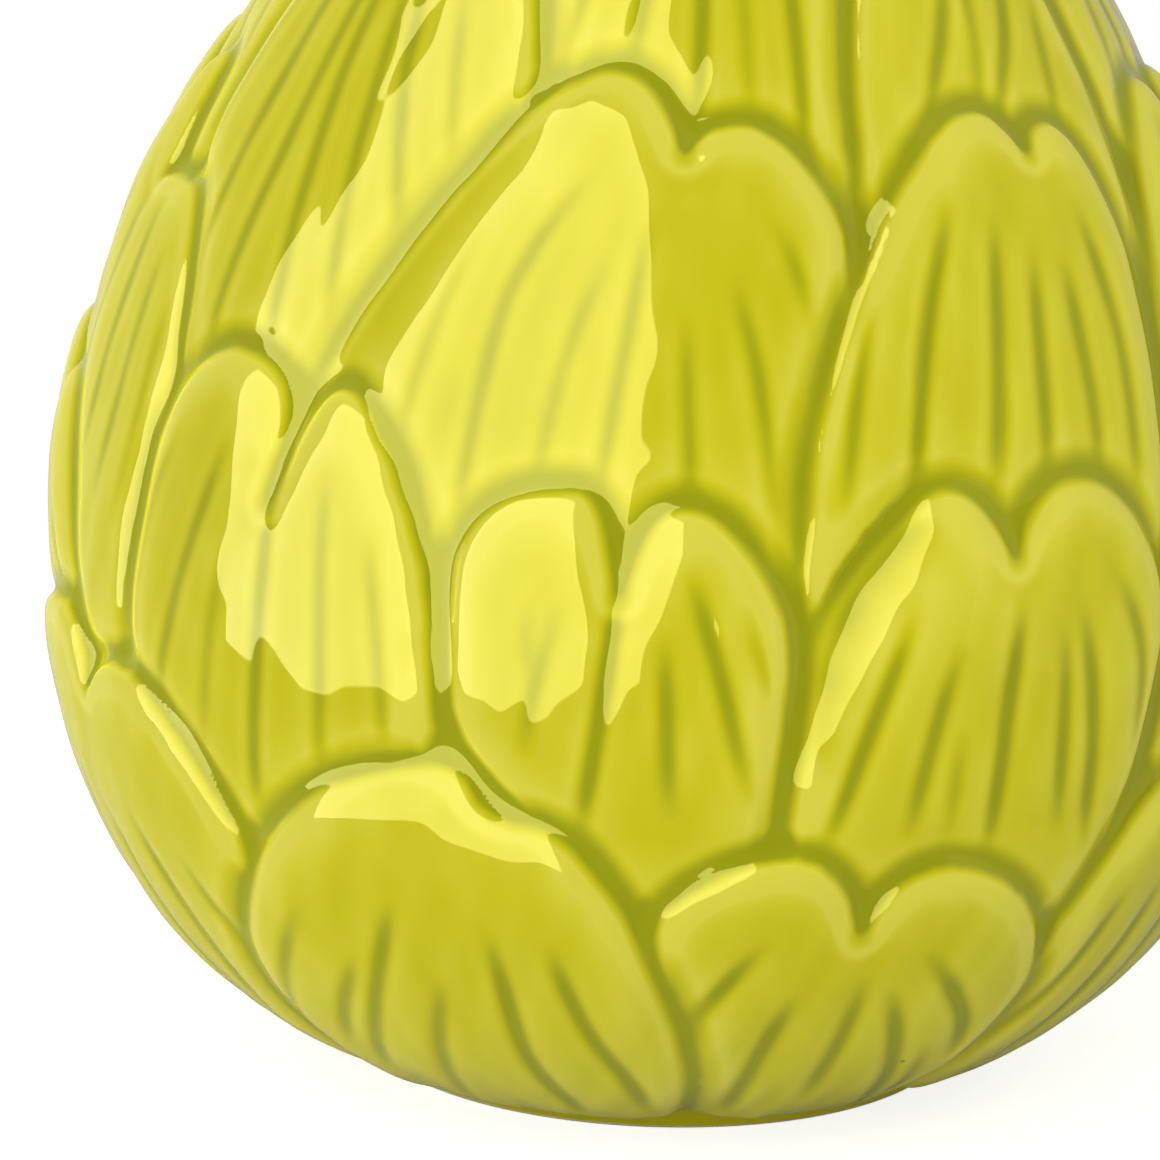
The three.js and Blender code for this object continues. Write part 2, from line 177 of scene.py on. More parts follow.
# Floor inside, from the reach at which the wall turns into it, and the foot ring round a recess
FLOOR_REACH = 14
FLOOR_HEIGHT = 9.0
FLOOR_EDGE = 36
FLOOR_MIDDLE = 18
RING_OUTSIDE = 41
RING_INSIDE = 32.6
RING_ROUNDING = 1.2
RING_INNER_ROUNDING = 0.9
RECESS_ROUNDING = 1.6
RECESS_HEIGHT = 2.5
RECESS_MIDDLE = 16

# In each row, seat is the reach at which the bracts come out from behind the row below, start
# is where they begin and tip is where they end. cut is how deeply they are fluted
ROWS = {
    "foot_row": {"seat": 6, "start": 0, "tip": 76, "cut": 1.5},
    "belly_row": {"seat": 72, "start": 52, "tip": 120, "cut": 1.1},
    "shoulder_row": {"seat": 118, "start": 84, "tip": 170, "cut": 0.7},
    "neck_row": {"seat": 166, "start": 130, "tip": 212, "cut": 0.7},
    "rim_row": {"seat": 205, "start": 176, "tip": 246, "cut": 0.9},
}


def alike(depth, radius, *places):
    """Dents of one depth and radius at several places."""
    return [(*place, depth, radius) for place in places]


# Bracts on the side that faces -Y. An outline is given by its notch, the peaks of its two lobes
# and the widest place on each side, as (azimuth, reach). round is how full each side's curve
# is, lean is how far each lobe leans over the notch, and below them each side runs through the
# points of left to the root. A flute is a line of points from its upper end, with its strength.
# A dent is (azimuth, reach, depth, radius), and one of negative depth is a rise. worn is how much
# of its flutes' depth a bract keeps, and rolled how much of its edges' rounding, at its left and
# right side. front is its place in its row: a higher number lies over a lower one. levels are
# its own where they differ from its row's.
FOOT_BRACTS = [
    {
        "notch": (-17.5, 76.5), "peaks": [(-22.5, 81.2), (-12.5, 74)],
        "sides": [(-50.5, 30), (4.8, 20)], "round": (0.42, 0.38), "root": (-49, 5), "front": 3,
        "dents": [(-28, 80, 1.4, 7), (-21, 78, 1.7, 8), (-13.5, 72.5, 1.5, 8)],
        "flutes": [
            (0.8, [(-37, 56), (-44, 40), (-50, 25)]), (0.9, [(-31, 50), (-37, 36), (-41, 25)]),
            (1.0, [(-26, 60), (-30, 44), (-39, 18)]), (0.7, [(-22, 48), (-26, 30), (-30, 8)]),
            (1.1, [(-16.5, 57), (-15.5, 40), (-15, 30), (-11, 10)]),
            (1.0, [(-11, 56), (-8, 40), (-3, 25), (-1, 12)]),
        ],
    },
    {
        "notch": (18.5, 57.5), "peaks": [(11, 69.7), (26, 67.2)],
        "sides": [(-2, 54), (41.6, 42)], "round": (0.5, 0.48), "root": (1, 38), "front": 2,
        "rolled": (0.45, 0.45),
        "flutes": [
            (1.0, [(9.5, 58), (6, 50), (3.5, 43), (2.5, 36)]),
            (1.0, [(13, 48), (11, 36), (10, 25), (9.5, 10)]),
            (0.9, [(20, 50), (19.5, 36), (19, 20)]),
            (1.1, [(23, 48), (27, 34), (31, 18), (32, 10)]),
            (1.2, [(26, 54), (31, 45), (35, 37), (37, 28)]), (0.7, [(31, 34), (34, 22), (35, 12)]),
        ],
    },
    {
        "notch": (62, 68), "peaks": [(56, 76), (70, 74)],
        "sides": [(39, 40), (86, 40)], "round": (0.38, 0.5), "root": (40, 84), "front": 1,
        "flutes": [
            (1.0, [(50, 58), (47, 45), (42, 28)]), (1.0, [(56, 58), (54, 40), (51, 20)]),
            (0.9, [(62, 56), (62, 40), (61, 18)]), (1.0, [(68, 58), (70, 40), (71, 20)]),
            (1.0, [(74, 58), (78, 40), (79, 24)]),
        ],
    },
    {
        "notch": (-66.5, 77), "peaks": [(-74, 87), (-59, 83)],
        "sides": [(-95, 50), (-40, 46)], "round": (0.5, 0.42), "root": (-92, -44), "front": 2,
        "rolled": (0.25, 0.45),
        "flutes": [
            (1.0, [(-80, 62), (-84, 44), (-86, 24)]), (0.9, [(-74, 62), (-76, 44), (-77, 22)]),
            (1.0, [(-69, 60), (-66, 42), (-66, 24)]), (1.0, [(-61, 62), (-57, 42), (-57, 24)]),
            (0.9, [(-53, 58), (-50, 48), (-48, 34)]),
        ],
    },
]
BELLY_BRACTS = [
    {
        "notch": (-39.5, 112), "peaks": [(-47.5, 131.5), (-33.5, 129)], "lean": (3, 0),
        "sides": [(-58.8, 108), (-21, 95)], "round": (0.5, 0.42), "root": (-60, -21), "front": 2,
        "worn": 0.1,
        "dents": [(-58, 110, 1.9, 14), (-44, 103, -0.3, 4), (-40.5, 117, 0.5, 3.5),
                  (-40, 124, 0.6, 4), (-28, 124, 0.8, 4),
                  *alike(0.9, 4, (-25, 118), (-22.8, 111), (-21.5, 104)),
                  (-21, 97, 0.8, 4)],
        "flutes": [
            (0.7, [(-52, 120), (-57, 105), (-57, 80)]), (1.0, [(-45, 120), (-49, 100), (-54, 78)]),
            (0.6, [(-43, 108), (-47, 76)]), (1.3, [(-39, 117), (-38.5, 100), (-41, 68)]),
            (0.9, [(-33, 118), (-32, 95), (-33, 72)]), (0.9, [(-28, 112), (-26, 92), (-26, 74)]),
        ],
    },
    {
        "notch": (-5, 106), "peaks": [(-9.5, 120), (0.5, 118.3)],
        "sides": [(-21.6, 96), (11, 95)], "round": (0.7, 0.45), "root": (-9, 10), "front": 1,
        "left": [(-21, 88), (-18, 80), (-14.5, 74)], "worn": 0.6,
        "dents": [(-21.5, 98, 0.4, 4), (-20.6, 104.5, 0.3, 4)],
        "flutes": [
            (0.7, [(-13, 105), (-12.5, 92)]), (0.8, [(-10, 105), (-12, 94), (-13, 84)]),
            (1.35, [(-5, 110), (-5.5, 98), (-8, 72)]), (0.9, [(-1, 102), (0, 76)]),
            (1.0, [(1, 110), (4, 96), (7, 78)]), (0.8, [(6, 105), (9.5, 88)]),
        ],
    },
    {
        "notch": (31, 109.5), "peaks": [(24.3, 119.8), (39, 119.3)],
        "sides": [(11.2, 96), (50.5, 95)], "round": (0.4, 0.5), "root": (9, 46), "front": 2,
        "dents": [(12, 87, 1.3, 5.5), (12.6, 95, 2.2, 5.5), (14.2, 103, 2.6, 5.5),
                  (17, 109.5, 2.8, 6), (20.5, 115, 2.4, 5.5), (25.5, 103, -1.8, 11)],
        "flutes": [
            (1.1, [(21, 105), (18, 90), (14, 70)]), (0.9, [(25, 100), (23.5, 88), (22, 72)]),
            (0.5, [(26, 88), (26, 70)]), (1.1, [(31, 105), (30.5, 90), (30.5, 68)]),
            (0.9, [(36, 100), (38, 70)]), (1.0, [(38, 102), (40.5, 86), (42, 66)]),
            (0.9, [(42, 106), (46, 95), (47, 78)]),
        ],
    },
    {
        "notch": (-90, 108), "peaks": [(-97, 122), (-84, 117)],
        "sides": [(-108, 95), (-70.5, 80)], "round": (0.5, 0.42), "root": (-108, -68), "front": 1,
        "flutes": [
            (0.9, [(-100, 104), (-104, 84), (-104, 66)]), (1.0, [(-95, 102), (-96, 84), (-97, 66)]),
            (1.1, [(-90, 106), (-88.5, 86), (-88, 66)]),
            (0.9, [(-85, 102), (-81.5, 84), (-80, 66)]),
            (0.9, [(-80, 100), (-74.5, 80), (-73, 66)]),
        ],
    },
]
SHOULDER_BRACTS = [
    {
        "notch": (-76.5, 147.5), "peaks": [(-83.5, 166), (-68.5, 149.5)],
        "sides": [(-93, 128), (-56, 112)], "round": (0.5, 0.45), "root": (-91, -58), "front": 2,
        "worn": 0.12,
        "dents": [(-84, 146, -0.9, 14)],
        "flutes": [
            (0.9, [(-83, 146), (-86, 132), (-88, 112)]),
            (0.9, [(-77, 146), (-79, 130), (-80, 108)]),
            (1.1, [(-72, 146), (-72, 130), (-73, 108)]),
            (0.9, [(-66.5, 140), (-66, 126), (-67, 104)]),
            (0.8, [(-62, 134), (-61, 120), (-62, 102)]),
        ],
    },
    {
        "notch": (-0.5, 164.5), "peaks": [(-10.2, 176.6), (6.5, 169.3)],
        "sides": [(-41, 112), (19, 146)], "round": (0.4, 0.5), "root": (-36, 14), "front": 1,
        "worn": 0.1, "rolled": (0.45, 1),
        "dents": [(-3.5, 152, -0.7, 13), (-3.5, 132, -0.8, 13),
                  *alike(1, 9, (-38.5, 120), (-37.2, 128), (-35.2, 136), (-32.6, 144),
                         (-29.4, 152), (-25.8, 160)),
                  (-20.5, 168, 0.8, 9), (-13, 175, 0.5, 7),
                  (-30.5, 126, -0.5, 6), (-28.8, 133, -0.6, 6),
                  *alike(-0.7, 6, (-26.7, 140), (-24.3, 146.5), (-21.5, 152.5), (-18.6, 157.5)),
                  (-15.5, 162, -0.6, 6),
                  *alike(-0.25, 6, (-3, 125), (-3.4, 132), (-3.6, 139), (-3, 147)),
                  (4.5, 162, 0.3, 4.5)],
        "flutes": [
            (0.8, [(-22, 153), (-25, 141), (-27, 125), (-28, 112)]),
            (1.0, [(-11, 161), (-16, 151), (-19, 141), (-20.5, 112)]),
            (0.7, [(-8, 150), (-11.5, 138), (-14, 112)]),
            (1.0, [(-4, 156), (-5.5, 140), (-6.5, 129), (-8, 112)]),
            (0.9, [(0, 143), (1, 120), (1, 110)]), (0.9, [(5, 148), (7.5, 134), (9, 112)]),
            (0.8, [(9, 156), (11.5, 150), (13, 140)]),
        ],
    },
    {
        "notch": (43, 162), "peaks": [(36.7, 169.4), (48.5, 166.3)],
        "sides": [(11, 116), (55.5, 146)], "round": (0.42, 0.55), "root": (11, 50), "front": 3,
        "rolled": (0.6, 1), "dents": [(14, 130, 0.3, 7), (12.5, 118, 0.5, 7)],
        "flutes": [
            (0.9, [(20, 150), (17, 134), (15, 116)]),
            (1.1, [(30, 158), (26, 146), (23, 132), (21.5, 112)]),
            (1.0, [(35, 155), (33, 142), (30, 118)]), (1.0, [(39, 150), (37, 134), (36, 116)]),
            (0.9, [(43, 148), (42.5, 114)]), (0.9, [(47, 155), (48.5, 140), (47, 114)]),
        ],
    },
    {
        "notch": (81, 161), "peaks": [(75, 168), (88, 167)],
        "sides": [(54, 120), (101, 130)], "round": (0.4, 0.5), "root": (56, 98), "front": 2,
        "flutes": [
            (0.9, [(69, 152), (65, 136), (61, 110)]), (1.0, [(75, 152), (72, 134), (70, 108)]),
            (1.1, [(81, 154), (79.5, 134), (79, 108)]), (0.9, [(87, 152), (87, 108)]),
            (0.9, [(93, 148), (94, 110)]),
        ],
    },
]
NECK_BRACTS = [
    {
        "notch": (-49, 203), "peaks": [(-57, 212), (-41, 210)],
        "sides": [(-72, 160), (-19, 168)], "round": (0.45, 0.45), "root": (-62, -30), "front": 3,
        "levels": {"seat": 130, "start": 104}, "worn": 0.02,
        "dents": [*alike(0.6, 8, (-41, 124), (-38.8, 132), (-36.3, 140), (-33.3, 148),
                         (-29.8, 156), (-25.5, 164)),
                  (-20, 171, 0.5, 8), (-39.2, 177, 0.16, 3.2), (-36.5, 166, 0.18, 4),
                  (-46.3, 136, -0.15, 3)],
        "flutes": [
            (0.9, [(-63, 196), (-66, 178), (-69, 150), (-69, 128)]),
            (1.1, [(-57, 196), (-58, 178), (-60, 150), (-60, 126)]),
            (1.1, [(-50.5, 198), (-51.5, 178), (-53, 140), (-53, 124)]),
            (1.1, [(-47, 196), (-49, 178), (-45, 140), (-44, 124)]),
            (1.0, [(-44, 192), (-42, 170), (-38, 135), (-37, 124)]),
            (1.0, [(-41, 190), (-40, 178), (-33, 153), (-30, 132)]),
            (0.8, [(-34, 186), (-32, 178), (-28, 160), (-26, 146)]),
        ],
    },
    {
        "notch": (0, 204), "peaks": [(-8, 213), (8, 211.5)],
        "sides": [(-27, 180), (27, 180)], "round": (0.5, 0.5), "root": (-22, 22), "front": 1,
        "worn": 0.4,
        "flutes": [
            (0.9, [(-13, 198), (-16, 186), (-18, 168)]), (0.8, [(-6, 196), (-7.5, 180), (-9, 164)]),
            (1.2, [(1.5, 198), (1.5, 186), (0.5, 160)]), (0.6, [(7, 194), (7.5, 176), (7.5, 160)]),
            (1.2, [(14, 196), (14.5, 185), (14, 160)]),
        ],
    },
    {
        "notch": (46, 202), "peaks": [(38, 211), (54, 209)],
        "sides": [(20, 168), (67, 176)], "round": (0.42, 0.48), "root": (18, 58), "front": 2,
        "flutes": [
            (1.0, [(41, 192), (37, 181), (32, 172), (27, 152)]),
            (0.7, [(44, 194), (42, 180), (37, 160)]),
            (1.0, [(52, 192), (50, 182), (41, 168), (40, 154)]),
            (0.8, [(57, 186), (53, 172), (50, 156)]),
        ],
    },
]
SHAPED = {
    "foot_row": FOOT_BRACTS,
    "belly_row": BELLY_BRACTS,
    "shoulder_row": SHOULDER_BRACTS,
    "neck_row": NECK_BRACTS,
}

# Regular bracts fill each row round the back, with small turns and rises of their own
REGULAR = {
    "foot_row": {
        "centres": (108, 153, 199, 246), "fronts": (3, 1, 3, 1),
        "half_width": 25, "lobe": 8, "notch_depth": 9, "flank": 32,
    },
    "belly_row": {
        "centres": (71, 111, 151, 191, 231), "fronts": (1, 2, 1, 2, 3),
        "half_width": 21, "lobe": 7.5, "notch_depth": 9.5, "flank": 26,
    },
    "shoulder_row": {
        "centres": (123, 165, 206, 247), "fronts": (1, 3, 1, 3),
        "half_width": 23.5, "lobe": 8, "notch_depth": 8, "flank": 36,
    },
    "neck_row": {
        "centres": (88, 131, 175, 220, 265), "fronts": (3, 1, 2, 1, 2),
        "half_width": 25, "lobe": 9, "notch_depth": 8, "flank": 34,
    },
    "rim_row": {
        "centres": (-22, 20, 62, 106, 151, 197, 243, 290), "fronts": (1, 2, 1, 2, 1, 2, 1, 2),
        "half_width": 25, "lobe": 10.5, "notch_depth": 4.5, "flank": 16,
    },
}
SWAY = 1.5
RISE = 2.5
SWAY_PACE = 2.3
RISE_PACE = 1.7
REGULAR_ROUND = 0.48

# Their flutes: how far they spread over the bract at their upper ends and at their feet, how far
# under the notch they begin, and how much each one differs from the next. A pace is the step in
# that from bract to bract, for each degree between them, and from flute to flute
FLUTE_SPREAD = (-1, -0.52, 0, 0.52, 1)
UPPER_SPREAD = 0.5
LOWER_SPREAD = 0.76
MIDDLE_DROP = 1
OUTER_DROP = 7
DROP_SWAY = 2.5
DROP_PACE = (1, 3)
BOW = 1.2
BOW_PACE = (1.3, 2)
STRENGTH_SWAY = 0.25
STRENGTH_PACE = (0.7, 1.9)
UNDER_SEAT = 6
LOWEST_FLUTE_END = 12

# Curves of an outline
EDGE_POINTS = 22
DIP_FULLNESS = 0.55
DIP_SPREAD = 0.15


# Skin


def bezier(points, t):
    """Points along a cubic curve at the parameters t."""
    p = np.asarray(points, float)
    t = np.asarray(t, float)[:, None]
    u = 1 - t
    return u**3 * p[0] + 3 * u * u * t * p[1] + 3 * u * t * t * p[2] + t**3 * p[3]


def smooth(t):
    """Climbs softly from 0 at t = 0 to 1 at t = 1."""
    t = np.clip(t, 0, 1)
    return t * t * (3 - 2 * t)


def ellipse(t):
    """Quarter ellipse that rises steeply from 0 at t = 0 and flattens to 1 at t = 1."""
    return np.sqrt(np.clip(1 - (1 - np.clip(t, 0, 1)) ** 2, 0, 1))


def bell(distance, width, steepness=1):
    """1 at no distance, fading softly to 0 over about twice the width."""
    return np.exp(-steepness * (distance / width) ** 2)


def sampled_meridian():
    """Reach, radius and height, and direction of points along the skin's meridian."""
    points = np.vstack([bezier(curve, np.linspace(0, 1, POINTS_PER_CURVE)) for curve in MERIDIAN])
    steps = np.hypot(*np.diff(points, axis=0).T)
    keep = np.r_[True, steps > 1e-6]
    points = points[keep]
    reach = np.r_[0, np.cumsum(np.hypot(*np.diff(points, axis=0).T))]
    tangent = np.gradient(points, reach, axis=0)
    tangent /= np.hypot(tangent[:, 0], tangent[:, 1])[:, None]
    return reach, points, tangent


REACH, SKIN, TANGENT = sampled_meridian()
LENGTH = REACH[-1]


def station(reach, lift):
    """Radius and height of places given by reach and lift."""
    inside = np.clip(reach, 0, LENGTH)
    past = reach - inside
    r, z = (np.interp(inside, REACH, SKIN[:, i]) for i in (0, 1))
    tr, tz = (np.interp(inside, REACH, TANGENT[:, i]) for i in (0, 1))
    return r + tz * lift + tr * past, z - tr * lift + tz * past


def on_skin(azimuth, reach, lift):
    """Points in millimetres, as an array whose last axis is x, y, z."""
    r, z = station(reach, lift)
    turn = np.radians(azimuth)
    return np.stack(np.broadcast_arrays(r * np.sin(turn), -r * np.cos(turn), z), axis=-1)


# Outlines of the bracts


def unlike(centre, place, pace):
    """A value from -1 to 1 that makes each flute of each bract unlike the next."""
    return math.sin(centre * pace[0] + pace[1] * place)


def regular_flutes(centre, half_width, notch, seat):
    flutes = []
    for i, spread in enumerate(FLUTE_SPREAD):
        upper = notch[0] + UPPER_SPREAD * spread * half_width
        lower = centre + LOWER_SPREAD * spread * half_width
        drop = MIDDLE_DROP if spread == 0 else OUTER_DROP + DROP_SWAY * unlike(centre, i, DROP_PACE)
        top = notch[1] - drop
        bow = BOW * unlike(centre, i, BOW_PACE)
        middle = (0.5 * (upper + lower) + bow, 0.5 * (top + seat))
        strength = 1.0 + STRENGTH_SWAY * unlike(centre, i, STRENGTH_PACE)
        foot = (lower, max(seat - UNDER_SEAT, LOWEST_FLUTE_END))
        flutes.append((strength, [(upper, top), middle, foot]))
    return flutes


def regular_bract(row_name, place):
    rule, row = REGULAR[row_name], ROWS[row_name]
    tip = row["tip"]
    centre, half_width = rule["centres"][place], rule["half_width"]
    sway = SWAY * math.sin(centre * SWAY_PACE + tip)
    rise = 0 if row_name == "rim_row" else RISE * math.sin(centre * RISE_PACE + tip)
    notch = (centre + sway, tip - rule["notch_depth"] + rise)
    return {
        "notch": notch,
        "peaks": [(notch[0] - rule["lobe"], tip + rise),
                  (notch[0] + rule["lobe"], tip + rise - SWAY + sway)],
        "sides": [(centre - half_width, tip - rule["flank"]),
                  (centre + half_width, tip - rule["flank"])],
        "round": (REGULAR_ROUND, REGULAR_ROUND),
        "root": (centre - half_width, centre + half_width),
        "front": rule["fronts"][place],
        "flutes": regular_flutes(centre, half_width, notch, row["seat"]),
    }


def flank(side, peak, fullness, t):
    """Curve from the widest place of a side up to the peak of its lobe."""
    handles = [(side[0], side[1] + fullness * (peak[1] - side[1])),
               (peak[0] + fullness * (side[0] - peak[0]), peak[1])]
    return bezier([side, *handles, peak], t)


def dip(peak, notch, lean, t):
    """Curve from the peak of a lobe down into the notch."""
    handles = [(peak[0] + DIP_FULLNESS * (notch[0] - peak[0]) + lean, peak[1]),
               (notch[0] + DIP_SPREAD * (peak[0] - notch[0]) + lean,
                notch[1] + DIP_FULLNESS * (peak[1] - notch[1]))]
    return bezier([peak, *handles, notch], t)


def tip_edge(bract):
    """Upper edge of a bract, from its left side over both lobes to its right side."""
    t = np.linspace(0, 1, EDGE_POINTS)
    left = flank(bract["sides"][0], bract["peaks"][0], bract["round"][0], t)
    lean = bract.get("lean", (0, 0))
    left_dip = dip(bract["peaks"][0], bract["notch"], lean[0], t[1:])
    right_dip = dip(bract["peaks"][1], bract["notch"], lean[1], t)[::-1]
    right = flank(bract["sides"][1], bract["peaks"][1], bract["round"][1], t)[::-1]
    return np.vstack([left, left_dip, right_dip[1:], right[1:]])


def outline(bract):
    """The whole outline: up the left side, over the tip and down the right side."""
    left_root, right_root = bract["root"]
    left = [(left_root, bract["start"]), *reversed(bract.get("left", []))]
    return np.vstack([left, tip_edge(bract), [(right_root, bract["start"])]])


def all_bracts():
    """Every bract with its row's levels, hindmost first."""
    bracts = []
    for rank, (row_name, levels) in enumerate(ROWS.items()):
        regular = [regular_bract(row_name, i) for i in range(len(REGULAR[row_name]["centres"]))]
        for i, bract in enumerate(SHAPED.get(row_name, []) + regular):
            bracts.append({
                **bract,
                **levels,
                **bract.get("levels", {}),
                "name": f"{row_name}_bract_{i + 1}",
                "overlay": bract["front"] - 10 * rank,
            })
    return sorted(bracts, key=lambda bract: bract["overlay"])


# Height field. Its rows climb from the foot to the free edge of the rim row, and its columns go
# round. The uppermost rows follow that edge, so the lip has no steps.

AZIMUTHS = np.arange(COLUMNS) * 360 / COLUMNS - 180


def turn_to(azimuth, centre):
    """The same azimuth within half a turn of the centre."""
    return (azimuth - centre + 180) % 360 - 180 + centre


def free_edge(bracts):
    """Reach of the rim row's edge in every column."""
    edge = np.full(COLUMNS, ROWS["rim_row"]["tip"] - BETWEEN_RIM_BRACTS)
    for bract in bracts:
        if bract["name"].startswith("rim_row"):
            line = tip_edge(bract)
            near = turn_to(AZIMUTHS, bract["notch"][0])
            covered = (near > line[0, 0]) & (near < line[-1, 0])
            reach = np.interp(near, line[:, 0], line[:, 1])
            edge = np.where(covered, np.maximum(edge, reach), edge)
    return edge


def reach_grid(edge):
    """Reach of every place of the grid."""
    level = np.linspace(FIRST_REACH, FREE_REACH, LEVEL_ROWS)
    climb = 1 - (1 - np.arange(1, LIP_ROWS + 1) / LIP_ROWS) ** LIP_CLUSTER
    lip = FREE_REACH + climb[:, None] * (edge[None, :] - FREE_REACH)
    return np.vstack([np.repeat(level[:, None], COLUMNS, axis=1), lip])


def nearest(line, azimuth, reach, millimetres):
    """Distance in millimetres from places to a line of (azimuth, reach) points."""
    best = np.full(reach.shape, np.inf)
    for (a0, s0), (a1, s1) in zip(line[:-1], line[1:]):
        x, y = (azimuth - a0) * millimetres, reach - s0
        dx, dy = (a1 - a0) * millimetres, s1 - s0
        along = np.clip((x * dx + y * dy) / (dx * dx + dy * dy + 1e-9), 0, 1)
        best = np.minimum(best, (x - along * dx) ** 2 + (y - along * dy) ** 2)
    return np.sqrt(best)


def enclosed(line, azimuth, reach):
    """Which places lie inside a closed line."""
    inside = np.zeros(reach.shape, bool)
    for (a0, s0), (a1, s1) in zip(line, np.roll(line, -1, axis=0)):
        if s0 != s1:
            crosses = (s0 > reach) != (s1 > reach)
            inside ^= crosses & (azimuth < a0 + (reach - s0) * (a1 - a0) / (s1 - s0))
    return inside


def rounded(line):
    """The line with its corners cut off, so that it runs as a curve."""
    line = np.asarray(line, float)
    for _ in range(3):
        cut = np.empty((2 * len(line) - 2, 2))
        cut[0::2] = 0.75 * line[:-1] + 0.25 * line[1:]
        cut[1::2] = 0.25 * line[:-1] + 0.75 * line[1:]
        line = np.vstack([line[:1], cut, line[-1:]])
    return line


def places_near(line, reach):
    """The window of the grid round an outline, and its columns' azimuths, from left to right."""
    low, high = line.min(axis=0), line.max(axis=0)
    near = turn_to(AZIMUTHS, 0.5 * (low[0] + high[0]))
    columns = np.flatnonzero((near > low[0] - MARGIN) & (near < high[0] + MARGIN))
    columns = columns[np.argsort(near[columns])]
    rows = np.flatnonzero((reach.max(axis=1) > low[1] - MARGIN)
                          & (reach.min(axis=1) < high[1] + MARGIN))
    return np.ix_(rows, columns), near[columns]


def bract_face(bract, azimuth, reach, millimetres, distance, pit):
    """Lift of a bract's face, without its flutes."""
    rise = np.clip((reach - bract["seat"]) / (bract["tip"] - bract["seat"]), 0, 1)
    face = SEAT_LIFT + rise * (TIP_LIFT - SEAT_LIFT) + FRONT_STEP * (bract["front"] - MIDDLE_FRONT)
    rounding = ROLL_DROP * (1 - ellipse(distance / ROLL_WIDTH))
    rounding += PILLOW_DROP * (1 - np.clip(distance / PILLOW_WIDTH, 0, 1)) ** 2
    sides = [side[0] for side in bract["sides"]]
    rounding *= np.interp(azimuth, sides, bract.get("rolled", (1, 1)))
    face -= rounding * (1 - NOTCH_EASE * pit)
    for dent_azimuth, dent_reach, depth, radius in bract.get("dents", []):
        away = np.hypot((azimuth - dent_azimuth) * millimetres, reach - dent_reach)
        face -= depth * bell(away, radius)
    return face


def flute_marks(flutes, azimuth, reach, millimetres):
    """How deep the flutes are carved, how the glaze pools in them, and where it runs thin over
    the ridges between them."""
    carved, pooled, ridged = np.zeros((3, *reach.shape))
    for strength, flute in flutes:
        across = nearest(rounded(flute), azimuth, reach, millimetres)
        below_top = flute[0][1] + PAST_UPPER_END - reach
        above_foot = reach - flute[-1][1] + PAST_LOWER_END
        force = strength * (smooth(below_top / FLUTE_FADE) * smooth(above_foot / FLUTE_FADE))
        groove = bell(across, FLUTE_WIDTH, 0.5) + TROUGH * bell(across, TROUGH_WIDTH, 0.5)
        carved = np.maximum(carved, force * groove)
        pooled = np.maximum(pooled, force * bell(across, POOL_WIDTH, 0.5))
        ridged = np.maximum(ridged, force * bell(across - RIDGE_PLACE, RIDGE_WIDTH))
    return carved, pooled, ridged


def lay(bract, reach, fields, owner, index):
    """Lays one bract over what is there already. The fields are the lift, the strength of the
    flutes and the extra thickness of the glaze."""
    line = outline(bract)
    window, near = places_near(line, reach)
    s = reach[window]
    azimuth = np.broadcast_to(near, s.shape)
    millimetres = np.radians(station(s, 0)[0])
    inside = enclosed(line, azimuth, s)
    distance = nearest(line, azimuth, s, millimetres)
    to_notch = np.hypot((azimuth - bract["notch"][0]) * millimetres, s - bract["notch"][1])
    pit = bell(to_notch, NOTCH_REACH)

    face = bract_face(bract, azimuth, s, millimetres, distance, pit)
    carved, pooled, ridged = flute_marks(bract["flutes"], azimuth, s, millimetres)
    edge_fade = np.clip(distance / EDGE_FADE, EDGE_FLUTES, 1)
    face -= FLUTE_DEPTH * bract["cut"] * bract.get("worn", 1) * carved * edge_fade
    pooled = (pooled - RIDGE_THINNING * ridged) * edge_fade
    corner = EDGE_POOL * bell(distance, EDGE_POOL_WIDTH)
    thin = corner - CREST_THINNING * bell(distance - CREST_PLACE, CREST_WIDTH)

    moat = bell(distance, MOAT_WIDTH * (1 + NOTCH_WIDENING * pit))
    shoulder = bell(distance - SHOULDER_PLACE, SHOULDER_WIDTH)
    lift, cut, glaze = (field[window] for field in fields)
    beneath = (lift - MOAT_DEPTH * (1 + NOTCH_DEEPENING * pit) * moat,
               cut * smooth((distance - COVERED_FLUTES) / EDGE_FADE),
               glaze + (MOAT_POOL + NOTCH_POOL * pit) * moat - SHOULDER_THINNING * shoulder
               + corner)
    for field, over, under in zip(fields, (face, pooled, thin), beneath):
        field[window] = np.where(inside, over, under)
    owner[window] = np.where(inside, index, owner[window])


def blurred(field, reach, width):
    """Field levelled over a width in millimetres, the same all over the skin."""
    spacing = np.radians(360 / COLUMNS) * station(reach[:, 0], 0)[0]
    frequency = np.fft.rfftfreq(COLUMNS)[None, :] * 2 * np.pi
    keep = np.exp(-0.5 * (frequency * (width / spacing)[:, None]) ** 2)
    field = np.fft.irfft(np.fft.rfft(field, axis=1) * keep, COLUMNS, axis=1)
    step = (FREE_REACH - FIRST_REACH) / (LEVEL_ROWS - 1)
    half = int(math.ceil(BLUR_REACH * width / step))
    weights = np.exp(-0.5 * (np.arange(-half, half + 1) * step / width) ** 2)
    weights /= weights.sum()
    padded = np.pad(field, ((half, half), (0, 0)), mode="edge")
    rows = len(field)
    return sum(weight * padded[i:i + rows] for i, weight in enumerate(weights))


